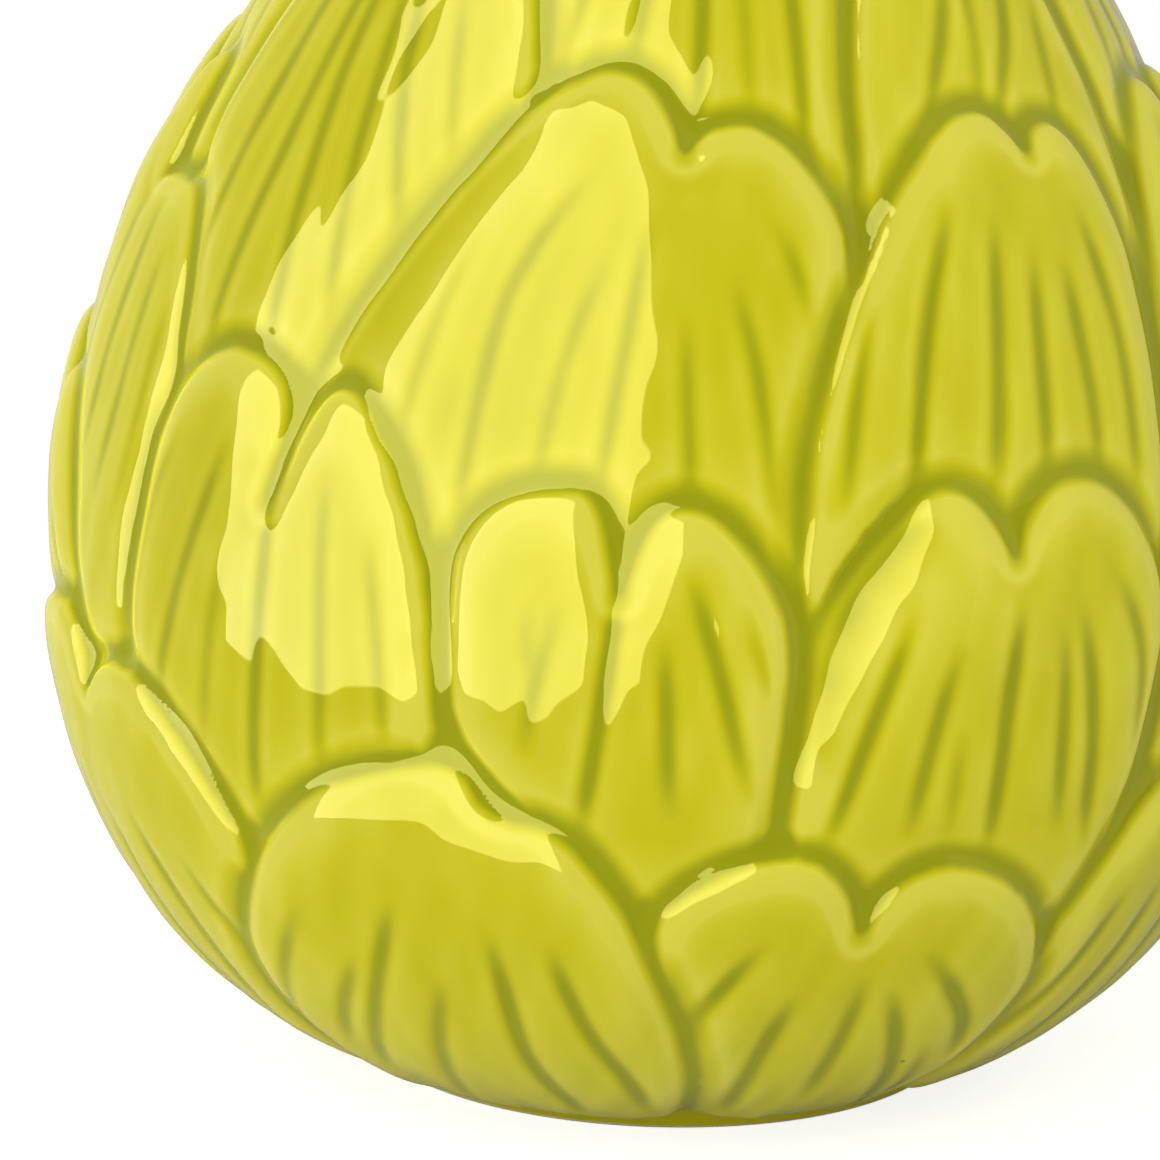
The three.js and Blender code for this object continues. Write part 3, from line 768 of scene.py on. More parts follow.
def waves(reach, seed, longest, count):
    """Slow unevenness of a hand-finished mould, about -1 to 1."""
    rng = np.random.default_rng(seed)
    total = np.zeros(reach.shape)
    turn = np.radians(AZIMUTHS)[None, :]
    most_round = int(2 * np.pi * BELLY / longest * 2)
    for _ in range(count):
        around = rng.integers(FEWEST_ROUND, most_round)
        up = rng.uniform(-2, 2) * np.pi / longest
        total += np.sin(around * turn + up * reach + rng.uniform(0, 2 * np.pi))
    return total / math.sqrt(count)


def distance_to_lip(reach, edge):
    """Distance from every place to the free edge, as far as the rounding of the lip needs it."""
    to_edge = np.full(reach.shape, np.inf)
    high = np.flatnonzero(reach[:, 0] > FREE_REACH - 1)
    radius = station(reach[high], 0)[0]
    for shift in range(-LIP_SEARCH, LIP_SEARCH + 1):
        gap = np.radians(shift * 360 / COLUMNS) * radius
        distance = np.hypot(gap, np.roll(edge, -shift)[None, :] - reach[high])
        to_edge[high] = np.minimum(to_edge[high], distance)
    return to_edge


def height_field(bracts):
    """The field's reach, lift, pools of glaze and distance to the lip, and which bract owns
    each place."""
    edge = free_edge(bracts)
    reach = reach_grid(edge)
    fields = (np.full(reach.shape, BARE_LIFT), np.zeros(reach.shape), np.zeros(reach.shape))
    owner = np.full(reach.shape, -1)
    for index, bract in enumerate(bracts):
        lay(bract, reach, fields, owner, index)
    lift, cut, thickness = fields
    clay = lift + WAVE_DEPTH * sum(share * waves(reach, *kind) for share, *kind in WAVES)
    clay = DEEPEST + DEEPEST_SOFTNESS * np.logaddexp(0, (clay - DEEPEST) / DEEPEST_SOFTNESS)

    glaze = blurred(clay, reach, GLAZE_LEVELLING)
    pool = blurred(clay, reach, POOL_LEVELLING) - glaze
    filled = blurred(clay, reach, VALLEY_LEVELLING)
    glaze += smooth(pool / VALLEY_DEPTH) * np.maximum(filled - glaze, 0)
    pool += blurred(FLUTE_POOL * cut + thickness, reach, POOL_SOFTNESS)

    sink = smooth((reach - FIRST_REACH) / FOOT_RUN_OUT)
    glaze = (WALL_OUTSIDE + FOOT_CLEARANCE) * (1 - sink) + glaze * sink
    to_edge = distance_to_lip(reach, edge)
    glaze -= (glaze - LIP_MIDDLE) * (1 - ellipse(to_edge / LIP_WIDTH))
    pool *= smooth(to_edge / LIP_WIDTH)
    pool -= LIP_THINNING * (1 - smooth(to_edge / LIP_THIN_WIDTH))
    return {"reach": reach, "lift": glaze, "pool": pool, "to_edge": to_edge}, owner


# Pieces


def reached(seed, allowed):
    """Places that can be reached from the seed through allowed places."""
    found = seed & allowed
    while True:
        before = found.sum()
        for _ in range(2):
            for _ in range(2):
                for i in range(1, len(found)):
                    found[i] |= found[i - 1] & allowed[i]
                found, allowed = found[::-1], allowed[::-1]
            found, allowed = found.T, allowed.T
        if found.sum() == before:
            return found


def shift_to_middle(mask):
    """By how many columns the mask moves for its middle to lie in the middle of the grid."""
    columns = np.flatnonzero(mask.any(axis=0))
    middle = np.angle(np.exp(1j * np.radians(AZIMUTHS[columns])).mean(), deg=True)
    return COLUMNS // 2 - int(round((middle + 180) * COLUMNS / 360))


def largest_patch(mask):
    left = mask.copy()
    largest = np.zeros(mask.shape, bool)
    while left.sum() > largest.sum():
        seed = np.zeros(mask.shape, bool)
        seed[np.unravel_index(left.argmax(), left.shape)] = True
        patch = reached(seed, left.copy())
        left &= ~patch
        if patch.sum() > largest.sum():
            largest = patch
    return largest


def settle_owners(owner, count):
    """Gives stray patches, and places that no bract covers, to a neighbour."""
    for index in range(count):
        mask = owner == index
        shift = shift_to_middle(mask)
        rolled = np.roll(mask, shift, axis=1)
        rows = np.flatnonzero(rolled.any(axis=1))
        cols = np.flatnonzero(rolled.any(axis=0))
        window = slice(rows[0], rows[-1] + 1), slice(cols[0], cols[-1] + 1)
        kept = np.zeros(rolled.shape, bool)
        kept[window] = largest_patch(rolled[window])
        owner[mask & ~np.roll(kept, -shift, axis=1)] = -1
    while (owner < 0).any():
        empty = owner < 0
        for axis, step in ((0, 1), (0, -1), (1, 1), (1, -1)):
            beside = np.roll(owner, step, axis=axis)
            if axis == 0:
                beside[0 if step == 1 else -1] = -1
            take = empty & (owner < 0) & (beside >= 0)
            owner[take] = beside[take]
    return owner


def quads_of(mask):
    """Grid squares that touch the mask, without holes or corners that only meet at a point."""
    quads = mask[:-1, :-1] | mask[1:, :-1] | mask[:-1, 1:] | mask[1:, 1:]
    while True:
        outside = np.zeros(quads.shape, bool)
        outside[[0, -1]] = True
        outside[:, [0, -1]] = True
        filled = ~reached(outside, ~quads)
        a, b, c, d = filled[:-1, :-1], filled[:-1, 1:], filled[1:, :-1], filled[1:, 1:]
        pinch = (a & d & ~b & ~c) | (b & c & ~a & ~d)
        if not pinch.any():
            return filled
        for rows, cols in ((slice(0, -1), slice(0, -1)), (slice(0, -1), slice(1, None)),
                           (slice(1, None), slice(0, -1)), (slice(1, None), slice(1, None))):
            filled[rows, cols] |= pinch
        quads = filled


def boundary_loop(faces):
    """The loop of vertices round a patch of faces, in the order that its faces run."""
    edges = np.vstack([faces[:, [i, (i + 1) % 4]] for i in range(4)])
    forward = set(map(tuple, edges))
    onward = {a: b for a, b in forward if (b, a) not in forward}
    start = next(iter(onward))
    loop = [start]
    while onward[loop[-1]] != start:
        loop.append(onward[loop[-1]])
    return np.array(loop)


def lowest_near(field, places):
    """The least value within so many places of each place, along both axes."""
    for axis in (0, 1):
        border = [(places, places) if i == axis else (0, 0) for i in (0, 1)]
        spread = np.pad(field, border, mode="edge")
        windows = np.lib.stride_tricks.sliding_window_view(spread, 2 * places + 1, axis=axis)
        field = windows.min(axis=-1)
    return field


def back_points(azimuth, part):
    """The plain back of a bract, which follows the skin and stays behind the front."""
    s, lift, to_edge = part["reach"], part["lift"], part["to_edge"]
    above_wall = smooth((s - WALL_TOP) / WALL_TOP_BLEND)
    inner = BRACT_BACK + above_wall * (LIP_INSIDE - BRACT_BACK)
    over = 1 - ellipse(to_edge / LIP_BACK_WIDTH)
    inner = inner + (LIP_MIDDLE - RIM_TUCK - inner) * over
    low = np.where(s < FREE_REACH, lowest_near(lift, BACK_SPACING), lift)
    thickness = LEAST_THICKNESS * smooth(to_edge / THICK_FROM_LIP)
    return on_skin(azimuth[None, :], s, np.minimum(inner, low - thickness - BACK_GAP))


def back_triangles(quads, loop, rows, s):
    """Triangles of a back: over the loop, a few places within it, and more near the lip."""
    within = np.zeros(s.shape, bool)
    within[1:-1, 1:-1] = quads[1:, 1:] & quads[:-1, 1:] & quads[1:, :-1] & quads[:-1, :-1]
    within.flat[loop] = False
    clear = within.copy()
    for _ in range(2):
        clear[1:-1, 1:-1] &= clear[2:, 1:-1] & clear[:-2, 1:-1] & clear[1:-1, 2:] & clear[1:-1, :-2]
    sparse = np.zeros(s.shape, bool)
    sparse[::BACK_SPACING, ::BACK_SPACING] = True
    width = s.shape[1]
    near_lip = (s > LIP_BACK_FROM) & (np.arange(width)[None, :] % LIP_BACK_SPACING == 0)
    near_lip &= np.isin(rows, np.arange(LEVEL_ROWS + LIP_ROWS - 1, 0, -2))[:, None]
    places = np.r_[loop, np.flatnonzero((clear & sparse) | (within & near_lip))]
    flat = [Vector((float(p % width), float(p // width))) for p in places]
    result = delaunay_2d_cdt(flat, [], [list(range(len(loop)))], 1, 1e-7)
    origin = [places[o[0]] if o else -1 for o in result[3]]
    return np.array([[origin[v] for v in face][::-1] for face in result[2]])


def bract_mesh(name, mask, field):
    """One closed piece: the stretch of the field that the bract shows, a rim that dips under
    its neighbours, and a plain back."""
    columns = (np.arange(COLUMNS) - shift_to_middle(mask)) % COLUMNS
    shown = mask[:, columns]
    high = np.flatnonzero(shown.any(axis=1))
    wide = np.flatnonzero(shown.any(axis=0))
    rows = np.arange(max(high[0] - BORDER, 0), min(high[-1] + BORDER + 1, len(mask)))
    columns = columns[wide[0] - BORDER:wide[-1] + BORDER + 1]
    window = np.ix_(rows, columns)
    part = {key: values[window] for key, values in field.items()}
    shown = mask[window]

    # One more place all round, so that holes can be told from the outside
    quads = quads_of(np.pad(shown, 1))[1:-1, 1:-1]
    index = np.arange(shown.size).reshape(shown.shape)
    r, c = np.nonzero(quads)
    faces = np.column_stack([index[r, c], index[r, c + 1], index[r + 1, c + 1], index[r + 1, c]])
    loop = boundary_loop(faces)
    front = part["points"] - RIM_TUCK * part["normals"] * ~shown[..., None]
    back = back_points(AZIMUTHS[columns], part)
    triangles = back_triangles(quads, loop, rows, part["reach"])

    # Vertices: the front's, then the back's
    on_front, on_back = np.unique(faces), np.unique(triangles)
    number = np.full((2, shown.size), -1)
    number[0, on_front] = np.arange(len(on_front))
    number[1, on_back] = len(on_front) + np.arange(len(on_back))
    following = np.roll(loop, -1)
    walls = np.column_stack([number[0, following], number[0, loop],
                             number[1, loop], number[1, following]])
    corners = [number[0, faces].ravel(), walls.ravel(), number[1, triangles].ravel()]
    sizes = np.r_[np.full(len(faces) + len(walls), 4), np.full(len(triangles), 3)]
    vertices = np.vstack([front.reshape(-1, 3)[on_front], back.reshape(-1, 3)[on_back]]) * MM
    shading = np.vstack([part["normals"].reshape(-1, 3)[on_front],
                         -grid_normals(back).reshape(-1, 3)[on_back]])
    pools = np.r_[part["pool"].ravel()[on_front], np.zeros(len(on_back))]
    return make_mesh(name, vertices, np.concatenate(corners), sizes, shading, pools)


def grid_normals(points, wrap=False):
    """Outward normals of a grid of points whose rows climb and whose columns turn left to right."""
    if wrap:
        around = np.roll(points, -1, axis=1) - np.roll(points, 1, axis=1)
    else:
        around = np.gradient(points, axis=1)
    up = np.gradient(points, axis=0)
    normals = np.cross(around, up)
    length = np.linalg.norm(normals, axis=-1, keepdims=True)
    return normals / np.maximum(length, 1e-12)


def placed(name, data):
    """A new object in the scene, at the origin."""
    made = bpy.data.objects.new(name, data)
    bpy.context.collection.objects.link(made)
    return made


def make_mesh(name, vertices, corners, sizes, shading, pools):
    """A piece from its vertices and the corners of its faces, with its shading and its glaze."""
    mesh = bpy.data.meshes.new(name)
    mesh.vertices.add(len(vertices))
    mesh.vertices.foreach_set("co", vertices.astype(np.float32).ravel())
    mesh.loops.add(len(corners))
    mesh.loops.foreach_set("vertex_index", corners.astype(np.int32))
    mesh.polygons.add(len(sizes))
    starts = np.r_[0, np.cumsum(sizes)[:-1]]
    mesh.polygons.foreach_set("loop_start", starts.astype(np.int32))
    mesh.update(calc_edges=True)
    mesh.attributes.new("pool", "FLOAT", "POINT").data.foreach_set("value", pools.astype(np.float32))
    mesh.validate()
    mesh.normals_split_custom_set_from_vertices(shading.tolist())
    return placed(name, mesh)


# Nodes and materials

# Sizes of the patterns. Fired grit is finer than 0.2 mm, which is too fine to show here, so the
# clay's grit is drawn about 1 mm coarse
CLOUD_SIZE = 26.3
MOTTLE_SIZE = 71.4
WALL_MOTTLE_SIZE = 62.5
RIPPLE_SIZE = 8.33
RIPPLE_HEIGHT = 1
PINHOLE_SPACING = 16.13
PINHOLE_RADIUS = 0.355
PINHOLE_SHARE = 0.1
GRIT_SIZE = 1.11
GRIT_HEIGHT = 0.5
BARE_HEIGHT = 0.9
BARE_WANDER = 0.6

# Shine of the glaze, the same on the bracts and on the wall
GLAZE_IOR = 1.5
GLAZE_TINT = "FFF78E"


def add_node(tree, kind, inputs=None, stops=(), **settings):
    """Adds a node with its settings. An input is a value, or the output of another node, or a
    node, whose first output it takes. Stops are the places and colours of a ramp."""
    made = tree.nodes.new(kind)
    for name, value in settings.items():
        setattr(made, name, value)
    for name, value in (inputs or {}).items():
        if isinstance(value, bpy.types.Node):
            value = next(socket for socket in value.outputs if socket.enabled)
        if isinstance(value, bpy.types.NodeSocket):
            tree.links.new(value, made.inputs[name])
        else:
            made.inputs[name].default_value = value
    if stops:
        elements = made.color_ramp.elements
        elements.remove(elements[-1])
        for i, (place, code) in enumerate(stops):
            element = elements.new(place) if i else elements[0]
            element.position = place
            element.color = colour(code)
    return made


def colour(code):
    """Linear colour of a hexadecimal sRGB code."""
    channels = [int(code[i:i + 2], 16) / 255 for i in (0, 2, 4)]
    linear = [c / 12.92 if c <= 0.04045 else ((c + 0.055) / 1.055) ** 2.4 for c in channels]
    return (*linear, 1.0)


def per_metre(size):
    """Scale of a pattern whose parts are so many millimetres apart."""
    return 1 / (size * MM)


def new_material(name):
    material = bpy.data.materials.new(name)
    material.use_nodes = True
    material.node_tree.nodes.clear()
    return material, material.node_tree


def glaze_material():
    """Lead-free gloss glaze, fired on earthenware. It runs thin and light over edges and pools
    darker in grooves, mirrors the lamps with sharp edges, and has slow clouds of tone, a faint
    ripple and a few pinholes."""
    material, tree = new_material("chartreuse_gloss_glaze")
    place = add_node(tree, "ShaderNodeTexCoord").outputs["Object"]
    pool = add_node(tree, "ShaderNodeAttribute", attribute_name="pool").outputs["Fac"]
    cloud = add_node(tree, "ShaderNodeTexNoise", {
        "Vector": place, "Scale": per_metre(CLOUD_SIZE), "Detail": 3.0})
    unevenness = add_node(tree, "ShaderNodeMath", {0: cloud, 1: 0.14, 2: -0.07},
                          operation="MULTIPLY_ADD")
    depth = add_node(tree, "ShaderNodeMath", {0: pool, 1: unevenness}, operation="ADD")
    spread = add_node(tree, "ShaderNodeMapRange", {
        "Value": depth, "From Min": -0.35, "From Max": 0.65})
    ramp = add_node(tree, "ShaderNodeValToRGB", {"Fac": spread}, stops=[
        (0.0, "ECE44E"), (0.18, "E2DB34"), (0.35, "D8D11C"), (0.52, "CAC618"), (0.75, "B4B417"),
        (1.0, "A4A713")])
    mottle = add_node(tree, "ShaderNodeTexNoise", {
        "Vector": place, "Scale": per_metre(MOTTLE_SIZE), "Detail": 2.0})
    tone = add_node(tree, "ShaderNodeMapRange", {
        "Value": mottle, "From Min": 0.3, "From Max": 0.7, "To Min": 0.965, "To Max": 1.02})
    toned = add_node(tree, "ShaderNodeHueSaturation", {"Color": ramp, "Value": tone})
    speck = add_node(tree, "ShaderNodeTexVoronoi", {
        "Vector": place, "Scale": per_metre(PINHOLE_SPACING)})
    pin = add_node(tree, "ShaderNodeMath", {0: speck, 1: PINHOLE_RADIUS / PINHOLE_SPACING},
                   operation="LESS_THAN")
    draw = add_node(tree, "ShaderNodeSeparateColor", {"Color": speck.outputs["Color"]})
    chosen = add_node(tree, "ShaderNodeMath", {0: draw.outputs["Red"], 1: PINHOLE_SHARE},
                      operation="LESS_THAN")
    pinhole = add_node(tree, "ShaderNodeMath", {0: pin, 1: chosen}, operation="MULTIPLY")
    marked = add_node(tree, "ShaderNodeMix", {
        "Factor": pinhole, "A": toned, "B": colour("8C8A2C")}, data_type="RGBA")
    ripple = add_node(tree, "ShaderNodeTexNoise", {
        "Vector": place, "Scale": per_metre(RIPPLE_SIZE), "Detail": 1.0})
    bump = add_node(tree, "ShaderNodeBump", {
        "Height": ripple, "Strength": 0.06, "Distance": RIPPLE_HEIGHT * MM})
    shader = add_node(tree, "ShaderNodeBsdfPrincipled", {
        "Base Color": marked, "Normal": bump, "Roughness": 0.03, "IOR": GLAZE_IOR,
        "Specular Tint": colour(GLAZE_TINT)})
    add_node(tree, "ShaderNodeOutputMaterial", {"Surface": shader})
    return material


def wall_material():
    """The same gloss glaze, poured into the vase and even in tone, and under the foot ring the
    bare fired earthenware, which is cream, dry and matt with a fine grit."""
    material, tree = new_material("chartreuse_glaze_and_bare_foot")
    place = add_node(tree, "ShaderNodeTexCoord").outputs["Object"]
    mottle = add_node(tree, "ShaderNodeTexNoise", {
        "Vector": place, "Scale": per_metre(WALL_MOTTLE_SIZE), "Detail": 3.0})
    glaze = add_node(tree, "ShaderNodeValToRGB", {"Fac": mottle},
                     stops=[(0.3, "D0C91B"), (0.7, "DBD422")])
    grit = add_node(tree, "ShaderNodeTexNoise", {
        "Vector": place, "Scale": per_metre(GRIT_SIZE), "Detail": 4.0})
    clay = add_node(tree, "ShaderNodeValToRGB", {"Fac": grit},
                    stops=[(0.35, "D8CDB4"), (0.65, "EAE2CF")])
    height = add_node(tree, "ShaderNodeSeparateXYZ", {"Vector": place})
    wander = add_node(tree, "ShaderNodeMath", {
        0: mottle, 1: BARE_WANDER * MM, 2: height.outputs["Z"]}, operation="MULTIPLY_ADD")
    bare = add_node(tree, "ShaderNodeMath", {0: wander, 1: BARE_HEIGHT * MM},
                    operation="LESS_THAN")
    colours = add_node(tree, "ShaderNodeMix", {"Factor": bare, "A": glaze, "B": clay},
                       data_type="RGBA")
    rough = add_node(tree, "ShaderNodeMapRange", {"Value": bare, "To Min": 0.04, "To Max": 0.85})
    bump = add_node(tree, "ShaderNodeBump", {
        "Height": grit, "Strength": 0.03, "Distance": GRIT_HEIGHT * MM})
    shader = add_node(tree, "ShaderNodeBsdfPrincipled", {
        "Base Color": colours, "Roughness": rough, "Normal": bump, "IOR": GLAZE_IOR,
        "Specular Tint": colour(GLAZE_TINT)})
    add_node(tree, "ShaderNodeOutputMaterial", {"Surface": shader})
    return material


# Wall


def corner(radius, height, rounding, start, stop, count):
    """Rounded corner of a section about its middle, between two angles in quarter turns."""
    turn = np.linspace(start, stop, count) * np.pi / 2
    return np.column_stack([radius + rounding * np.cos(turn), height + rounding * np.sin(turn)])


def wall_profile():
    """Radius and height along the wall's section, from the axis under the foot, up the outside
    and down the inside to the axis on the floor."""
    under = [(0, RECESS_HEIGHT), (RECESS_MIDDLE, RECESS_HEIGHT)]
    recess = corner(RING_INSIDE - RECESS_ROUNDING, RECESS_HEIGHT - RECESS_ROUNDING,
                    RECESS_ROUNDING, 1, 0, 6)
    ring_inner = corner(RING_INSIDE + RING_INNER_ROUNDING, RING_INNER_ROUNDING,
                        RING_INNER_ROUNDING, 2, 3, 5)
    ring_outer = corner(RING_OUTSIDE - RING_ROUNDING, RING_ROUNDING, RING_ROUNDING, -1, 0, 6)
    climb = np.r_[np.linspace(FIRST_REACH, FINE_FROM - 1, 60), np.linspace(FINE_FROM, WALL_TOP, 5)]
    outside = np.column_stack(station(climb, WALL_OUTSIDE))
    crown_height, crown_lift = np.transpose(CROWN)
    crown = np.column_stack(station(WALL_TOP + crown_height, crown_lift))
    top = WALL_TOP + crown_height[-1]
    descent = np.r_[np.linspace(top, FINE_FROM, 9), np.linspace(FINE_FROM - 1, FLOOR_REACH, 70)]
    thinning = smooth((descent - THINNING_FROM) / (top - THINNING_FROM))
    inside_lift = WALL_INSIDE + thinning * (LIP_INSIDE - WALL_INSIDE)
    inside = np.column_stack(station(descent, inside_lift))
    inward = np.sin(np.linspace(0, np.pi / 2, 9))[1:, None]
    slope = inside[-1] + inward * (np.array([FLOOR_EDGE, FLOOR_HEIGHT]) - inside[-1])
    middle = [(FLOOR_MIDDLE, FLOOR_HEIGHT), (0, FLOOR_HEIGHT)]
    return np.vstack([under, recess, ring_inner, ring_outer, outside, crown, inside, slope, middle])


def revolve_tree():
    """Geometry Nodes: turns a profile line, whose points hold radius in X and height in Z, into
    a closed wall round the Z axis. Each column of a grid becomes the profile at its own turn."""
    tree = bpy.data.node_groups.new("revolved_wall", "GeometryNodeTree")
    for name, way, kind in (("Profile", "INPUT", "Geometry"), ("Segments", "INPUT", "Int"),
                            ("Stations", "INPUT", "Int"), ("Glaze", "INPUT", "Material"),
                            ("Wall", "OUTPUT", "Geometry")):
        tree.interface.new_socket(name, in_out=way, socket_type="NodeSocket" + kind)
    given = add_node(tree, "NodeGroupInput").outputs
    around = add_node(tree, "ShaderNodeMath", {0: given["Segments"], 1: 1.0}, operation="ADD")
    grid = add_node(tree, "GeometryNodeMeshGrid", {
        "Size X": 1.0, "Size Y": 1.0, "Vertices X": around, "Vertices Y": given["Stations"]})
    position = add_node(tree, "GeometryNodeInputPosition")
    across = add_node(tree, "ShaderNodeSeparateXYZ", {"Vector": position})
    turn = add_node(tree, "ShaderNodeMath", {
        0: across.outputs["X"], 1: 2 * math.pi, 2: -math.pi / 2}, operation="MULTIPLY_ADD")
    row = add_node(tree, "ShaderNodeMath", {
        0: add_node(tree, "GeometryNodeInputIndex"), 1: given["Stations"]}, operation="MODULO")
    section = add_node(tree, "GeometryNodeSampleIndex", {
        "Geometry": given["Profile"], "Index": row, "Value": position},
        data_type="FLOAT_VECTOR", domain="POINT")
    place = add_node(tree, "ShaderNodeVectorRotate", {"Vector": section, "Angle": turn},
                     rotation_type="Z_AXIS")
    turned = add_node(tree, "GeometryNodeSetPosition", {"Geometry": grid, "Position": place})
    joined = add_node(tree, "GeometryNodeMergeByDistance", {"Geometry": turned, "Distance": 1e-6})
    smoothed = add_node(tree, "GeometryNodeSetShadeSmooth", {"Geometry": joined})
    real = add_node(tree, "GeometryNodeRealizeInstances", {"Geometry": smoothed})
    glazed = add_node(tree, "GeometryNodeSetMaterial", {
        "Geometry": real, "Material": given["Glaze"]})
    add_node(tree, "NodeGroupOutput", {"Wall": glazed})
    return tree


def build_wall(material):
    profile = wall_profile() * MM
    line = bpy.data.meshes.new("wall_profile")
    points = np.column_stack([profile[:, 0], np.zeros(len(profile)), profile[:, 1]])
    line.from_pydata(points.tolist(), [(i, i + 1) for i in range(len(points) - 1)], [])
    holder = placed("wall_profile", line)
    modifier = holder.modifiers.new("revolve", "NODES")
    modifier.node_group = revolve_tree()
    values = {"Segments": WALL_SEGMENTS, "Stations": len(points), "Glaze": material}
    for item in modifier.node_group.interface.items_tree:
        if item.in_out == "INPUT" and item.name in values:
            modifier[item.identifier] = values[item.name]
    bpy.context.view_layer.update()
    evaluated = holder.evaluated_get(bpy.context.evaluated_depsgraph_get())
    mesh = bpy.data.meshes.new_from_object(evaluated)
    mesh.name = "glazed_wall"
    bpy.data.objects.remove(holder)
    return placed("glazed_wall", mesh)


def declare(piece, replaced):
    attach(piece, "root")
    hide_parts(replaced)


def build_vase():
    bracts = all_bracts()
    field, owner = height_field(bracts)
    owner = settle_owners(owner, len(bracts))
    field["points"] = on_skin(AZIMUTHS[None, :], field["reach"], field["lift"])
    field["normals"] = grid_normals(field["points"], wrap=True)
    glaze = glaze_material()
    for index, bract in enumerate(bracts):
        piece = bract_mesh("glazed_" + bract["name"], owner == index, field)
        piece.data.materials.append(glaze)
        declare(piece, bract["name"])
    declare(build_wall(wall_material()), "vessel_wall")


# Stage, in metres. The softbox has a lamp that lights and one that only shines in the glaze

FLOOR_RADIUS = 0.24
FLOOR_GLOW = 0.8
SOFTBOX = {"azimuth": -45.0, "distance": 1.0, "base": -0.36, "width": 1.67, "height": 2.3}
SOFTBOX_SHINE = 5.3
SOFTBOX_LIGHT = 3.15
REFLECTOR = {"azimuth": 92, "distance": 1.5, "base": -1.2, "width": 3.0, "height": 3.4}
REFLECTOR_LIGHT = 0.3
ROOM_LIGHT = 0.45
PALE_WALL_AZIMUTH = 144
PALE_WALL_EDGE = 0.03
VIEW_ELEVATION = 15
VIEW_ROLL = 1.7
VIEW_DISTANCE = 1.2
VIEW_TARGET = (-0.0125, 0, 0.0662)
VIEW_WIDTH = 0.1611
SENSOR_WIDTH = 36


def direction_to(azimuth):
    turn = math.radians(azimuth)
    return Vector((math.sin(turn), -math.cos(turn), 0))


def build_floor():
    """Round of matt white paper, small enough for the softbox to shine past it from below. It
    looks white to the camera, and still keeps the vase's shadow."""
    mesh = bpy.data.meshes.new("floor")
    edge = [FLOOR_RADIUS * direction_to(90 + turn) for turn in np.arange(96) * 360 / 96]
    mesh.from_pydata(edge, [], [tuple(range(len(edge)))])
    material, tree = new_material("matt_white_paper")
    rays = add_node(tree, "ShaderNodeLightPath").outputs
    seen = add_node(tree, "ShaderNodeMix", {
        "Factor": rays["Is Camera Ray"], "A": colour("CFCFCF"), "B": colour("BCBCBC")},
        data_type="RGBA")
    paper = add_node(tree, "ShaderNodeBsdfDiffuse", {"Color": seen})
    white = add_node(tree, "ShaderNodeMath", {0: rays["Is Camera Ray"], 1: FLOOR_GLOW},
                     operation="MULTIPLY")
    glow = add_node(tree, "ShaderNodeEmission", {"Color": colour("FFFFFF"), "Strength": white})
    both = add_node(tree, "ShaderNodeAddShader", {0: paper, 1: glow})
    add_node(tree, "ShaderNodeOutputMaterial", {"Surface": both})
    mesh.materials.append(material)
    placed("floor", mesh)


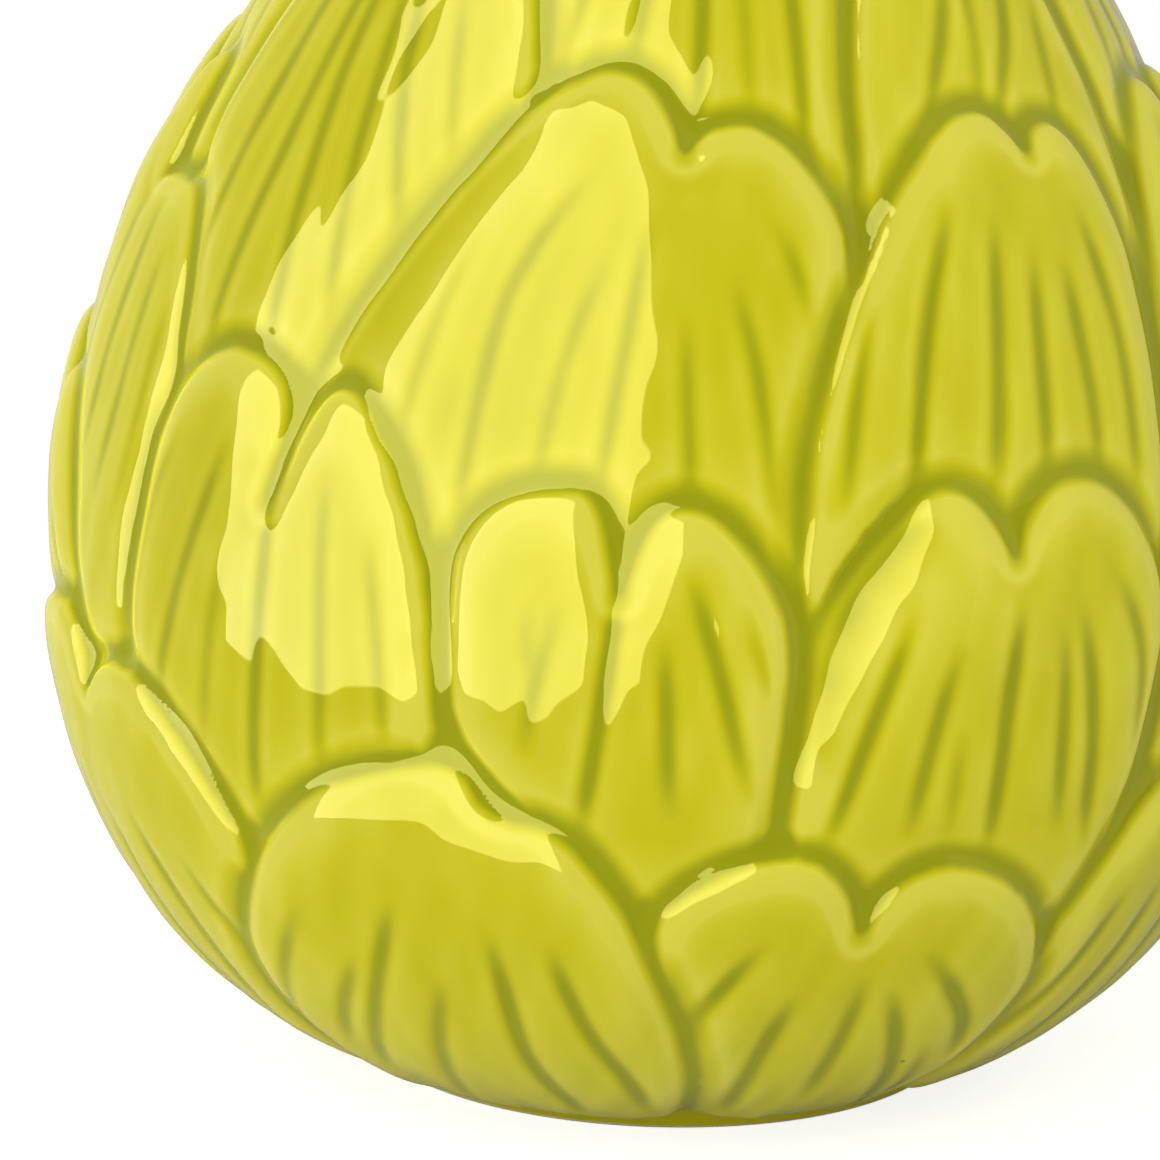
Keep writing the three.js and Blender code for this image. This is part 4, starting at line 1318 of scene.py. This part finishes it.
def build_world():
    """White all round for the camera, and an even soft light. The glaze mirrors a dim studio that
    brightens away from the camera, with a pale wall in the half of it that begins at the right."""
    world = bpy.data.worlds.new("studio")
    bpy.context.scene.world = world
    world.use_nodes = True
    tree = world.node_tree
    tree.nodes.clear()
    rays = add_node(tree, "ShaderNodeLightPath").outputs
    around = add_node(tree, "ShaderNodeTexCoord").outputs["Generated"]
    direction = add_node(tree, "ShaderNodeSeparateXYZ", {"Vector": around})
    dim = add_node(tree, "ShaderNodeMapRange", {
        "Value": direction.outputs["Y"], "From Min": -0.75, "From Max": 0.1, "To Min": 0.22,
        "To Max": 0.45})
    pale = add_node(tree, "ShaderNodeMapRange", {
        "Value": direction.outputs["Y"], "From Min": -0.6, "From Max": 0.6, "To Min": 0.95,
        "To Max": 0.45})
    past_corner = add_node(tree, "ShaderNodeVectorMath", {
        0: around, 1: direction_to(PALE_WALL_AZIMUTH)}, operation="DOT_PRODUCT")
    beside = add_node(tree, "ShaderNodeMapRange", {
        "Value": past_corner, "From Min": 0.0, "From Max": PALE_WALL_EDGE})
    walls = add_node(tree, "ShaderNodeMix", {"Factor": beside, "A": dim, "B": pale},
                     data_type="FLOAT")
    reflected = add_node(tree, "ShaderNodeMix", {
        "Factor": rays["Is Glossy Ray"], "A": ROOM_LIGHT, "B": walls}, data_type="FLOAT")
    seen = add_node(tree, "ShaderNodeMath", {
        0: rays["Is Camera Ray"], 1: rays["Is Transmission Ray"]}, operation="MAXIMUM")
    strength = add_node(tree, "ShaderNodeMix", {"Factor": seen, "A": reflected, "B": 1.0},
                        data_type="FLOAT")
    background = add_node(tree, "ShaderNodeBackground", {
        "Color": colour("FFFFFF"), "Strength": strength})
    add_node(tree, "ShaderNodeOutputWorld", {"Surface": background})


def add_lamp(name, radiance, azimuth, distance, base, width, height, diffuse=True, glossy=True):
    """Upright rectangular lamp that faces the vase's axis, with its foot at the height base."""
    light = bpy.data.lights.new(name, "AREA")
    light.shape = "RECTANGLE"
    light.size = width
    light.size_y = height
    light.energy = 4 * radiance * width * height
    lamp = placed(name, light)
    lamp.location = distance * direction_to(azimuth) + Vector((0, 0, base + height / 2))
    lamp.rotation_euler = (math.pi / 2, 0, math.radians(azimuth))
    lamp.visible_diffuse = diffuse
    lamp.visible_glossy = glossy
    lamp.visible_camera = False


def build_lights():
    """A large upright softbox to the left of the camera and a pale reflector to the right."""
    add_lamp("softbox_shine", SOFTBOX_SHINE, diffuse=False, **SOFTBOX)
    add_lamp("softbox", SOFTBOX_LIGHT, glossy=False, **SOFTBOX)
    add_lamp("reflector", REFLECTOR_LIGHT, glossy=False, **REFLECTOR)


def build_camera():
    """Camera at the photograph's angle, turned a little about its own axis."""
    elevation = math.radians(VIEW_ELEVATION)
    camera = bpy.data.cameras.new("camera")
    camera.sensor_width = SENSOR_WIDTH
    camera.lens = SENSOR_WIDTH * VIEW_DISTANCE / VIEW_WIDTH
    camera.clip_end = 100
    viewer = placed("camera", camera)
    away = Vector((0, -math.cos(elevation), math.sin(elevation)))
    viewer.location = Vector(VIEW_TARGET) + VIEW_DISTANCE * away
    look = Euler((math.pi / 2 - elevation, 0, 0)).to_matrix()
    roll = Matrix.Rotation(math.radians(VIEW_ROLL), 3, "Z")
    viewer.rotation_euler = (look @ roll).to_euler()
    bpy.context.scene.camera = viewer


build_vase()
build_floor()
build_world()
build_lights()
build_camera()
bpy.context.scene.view_settings.view_transform = "Standard"
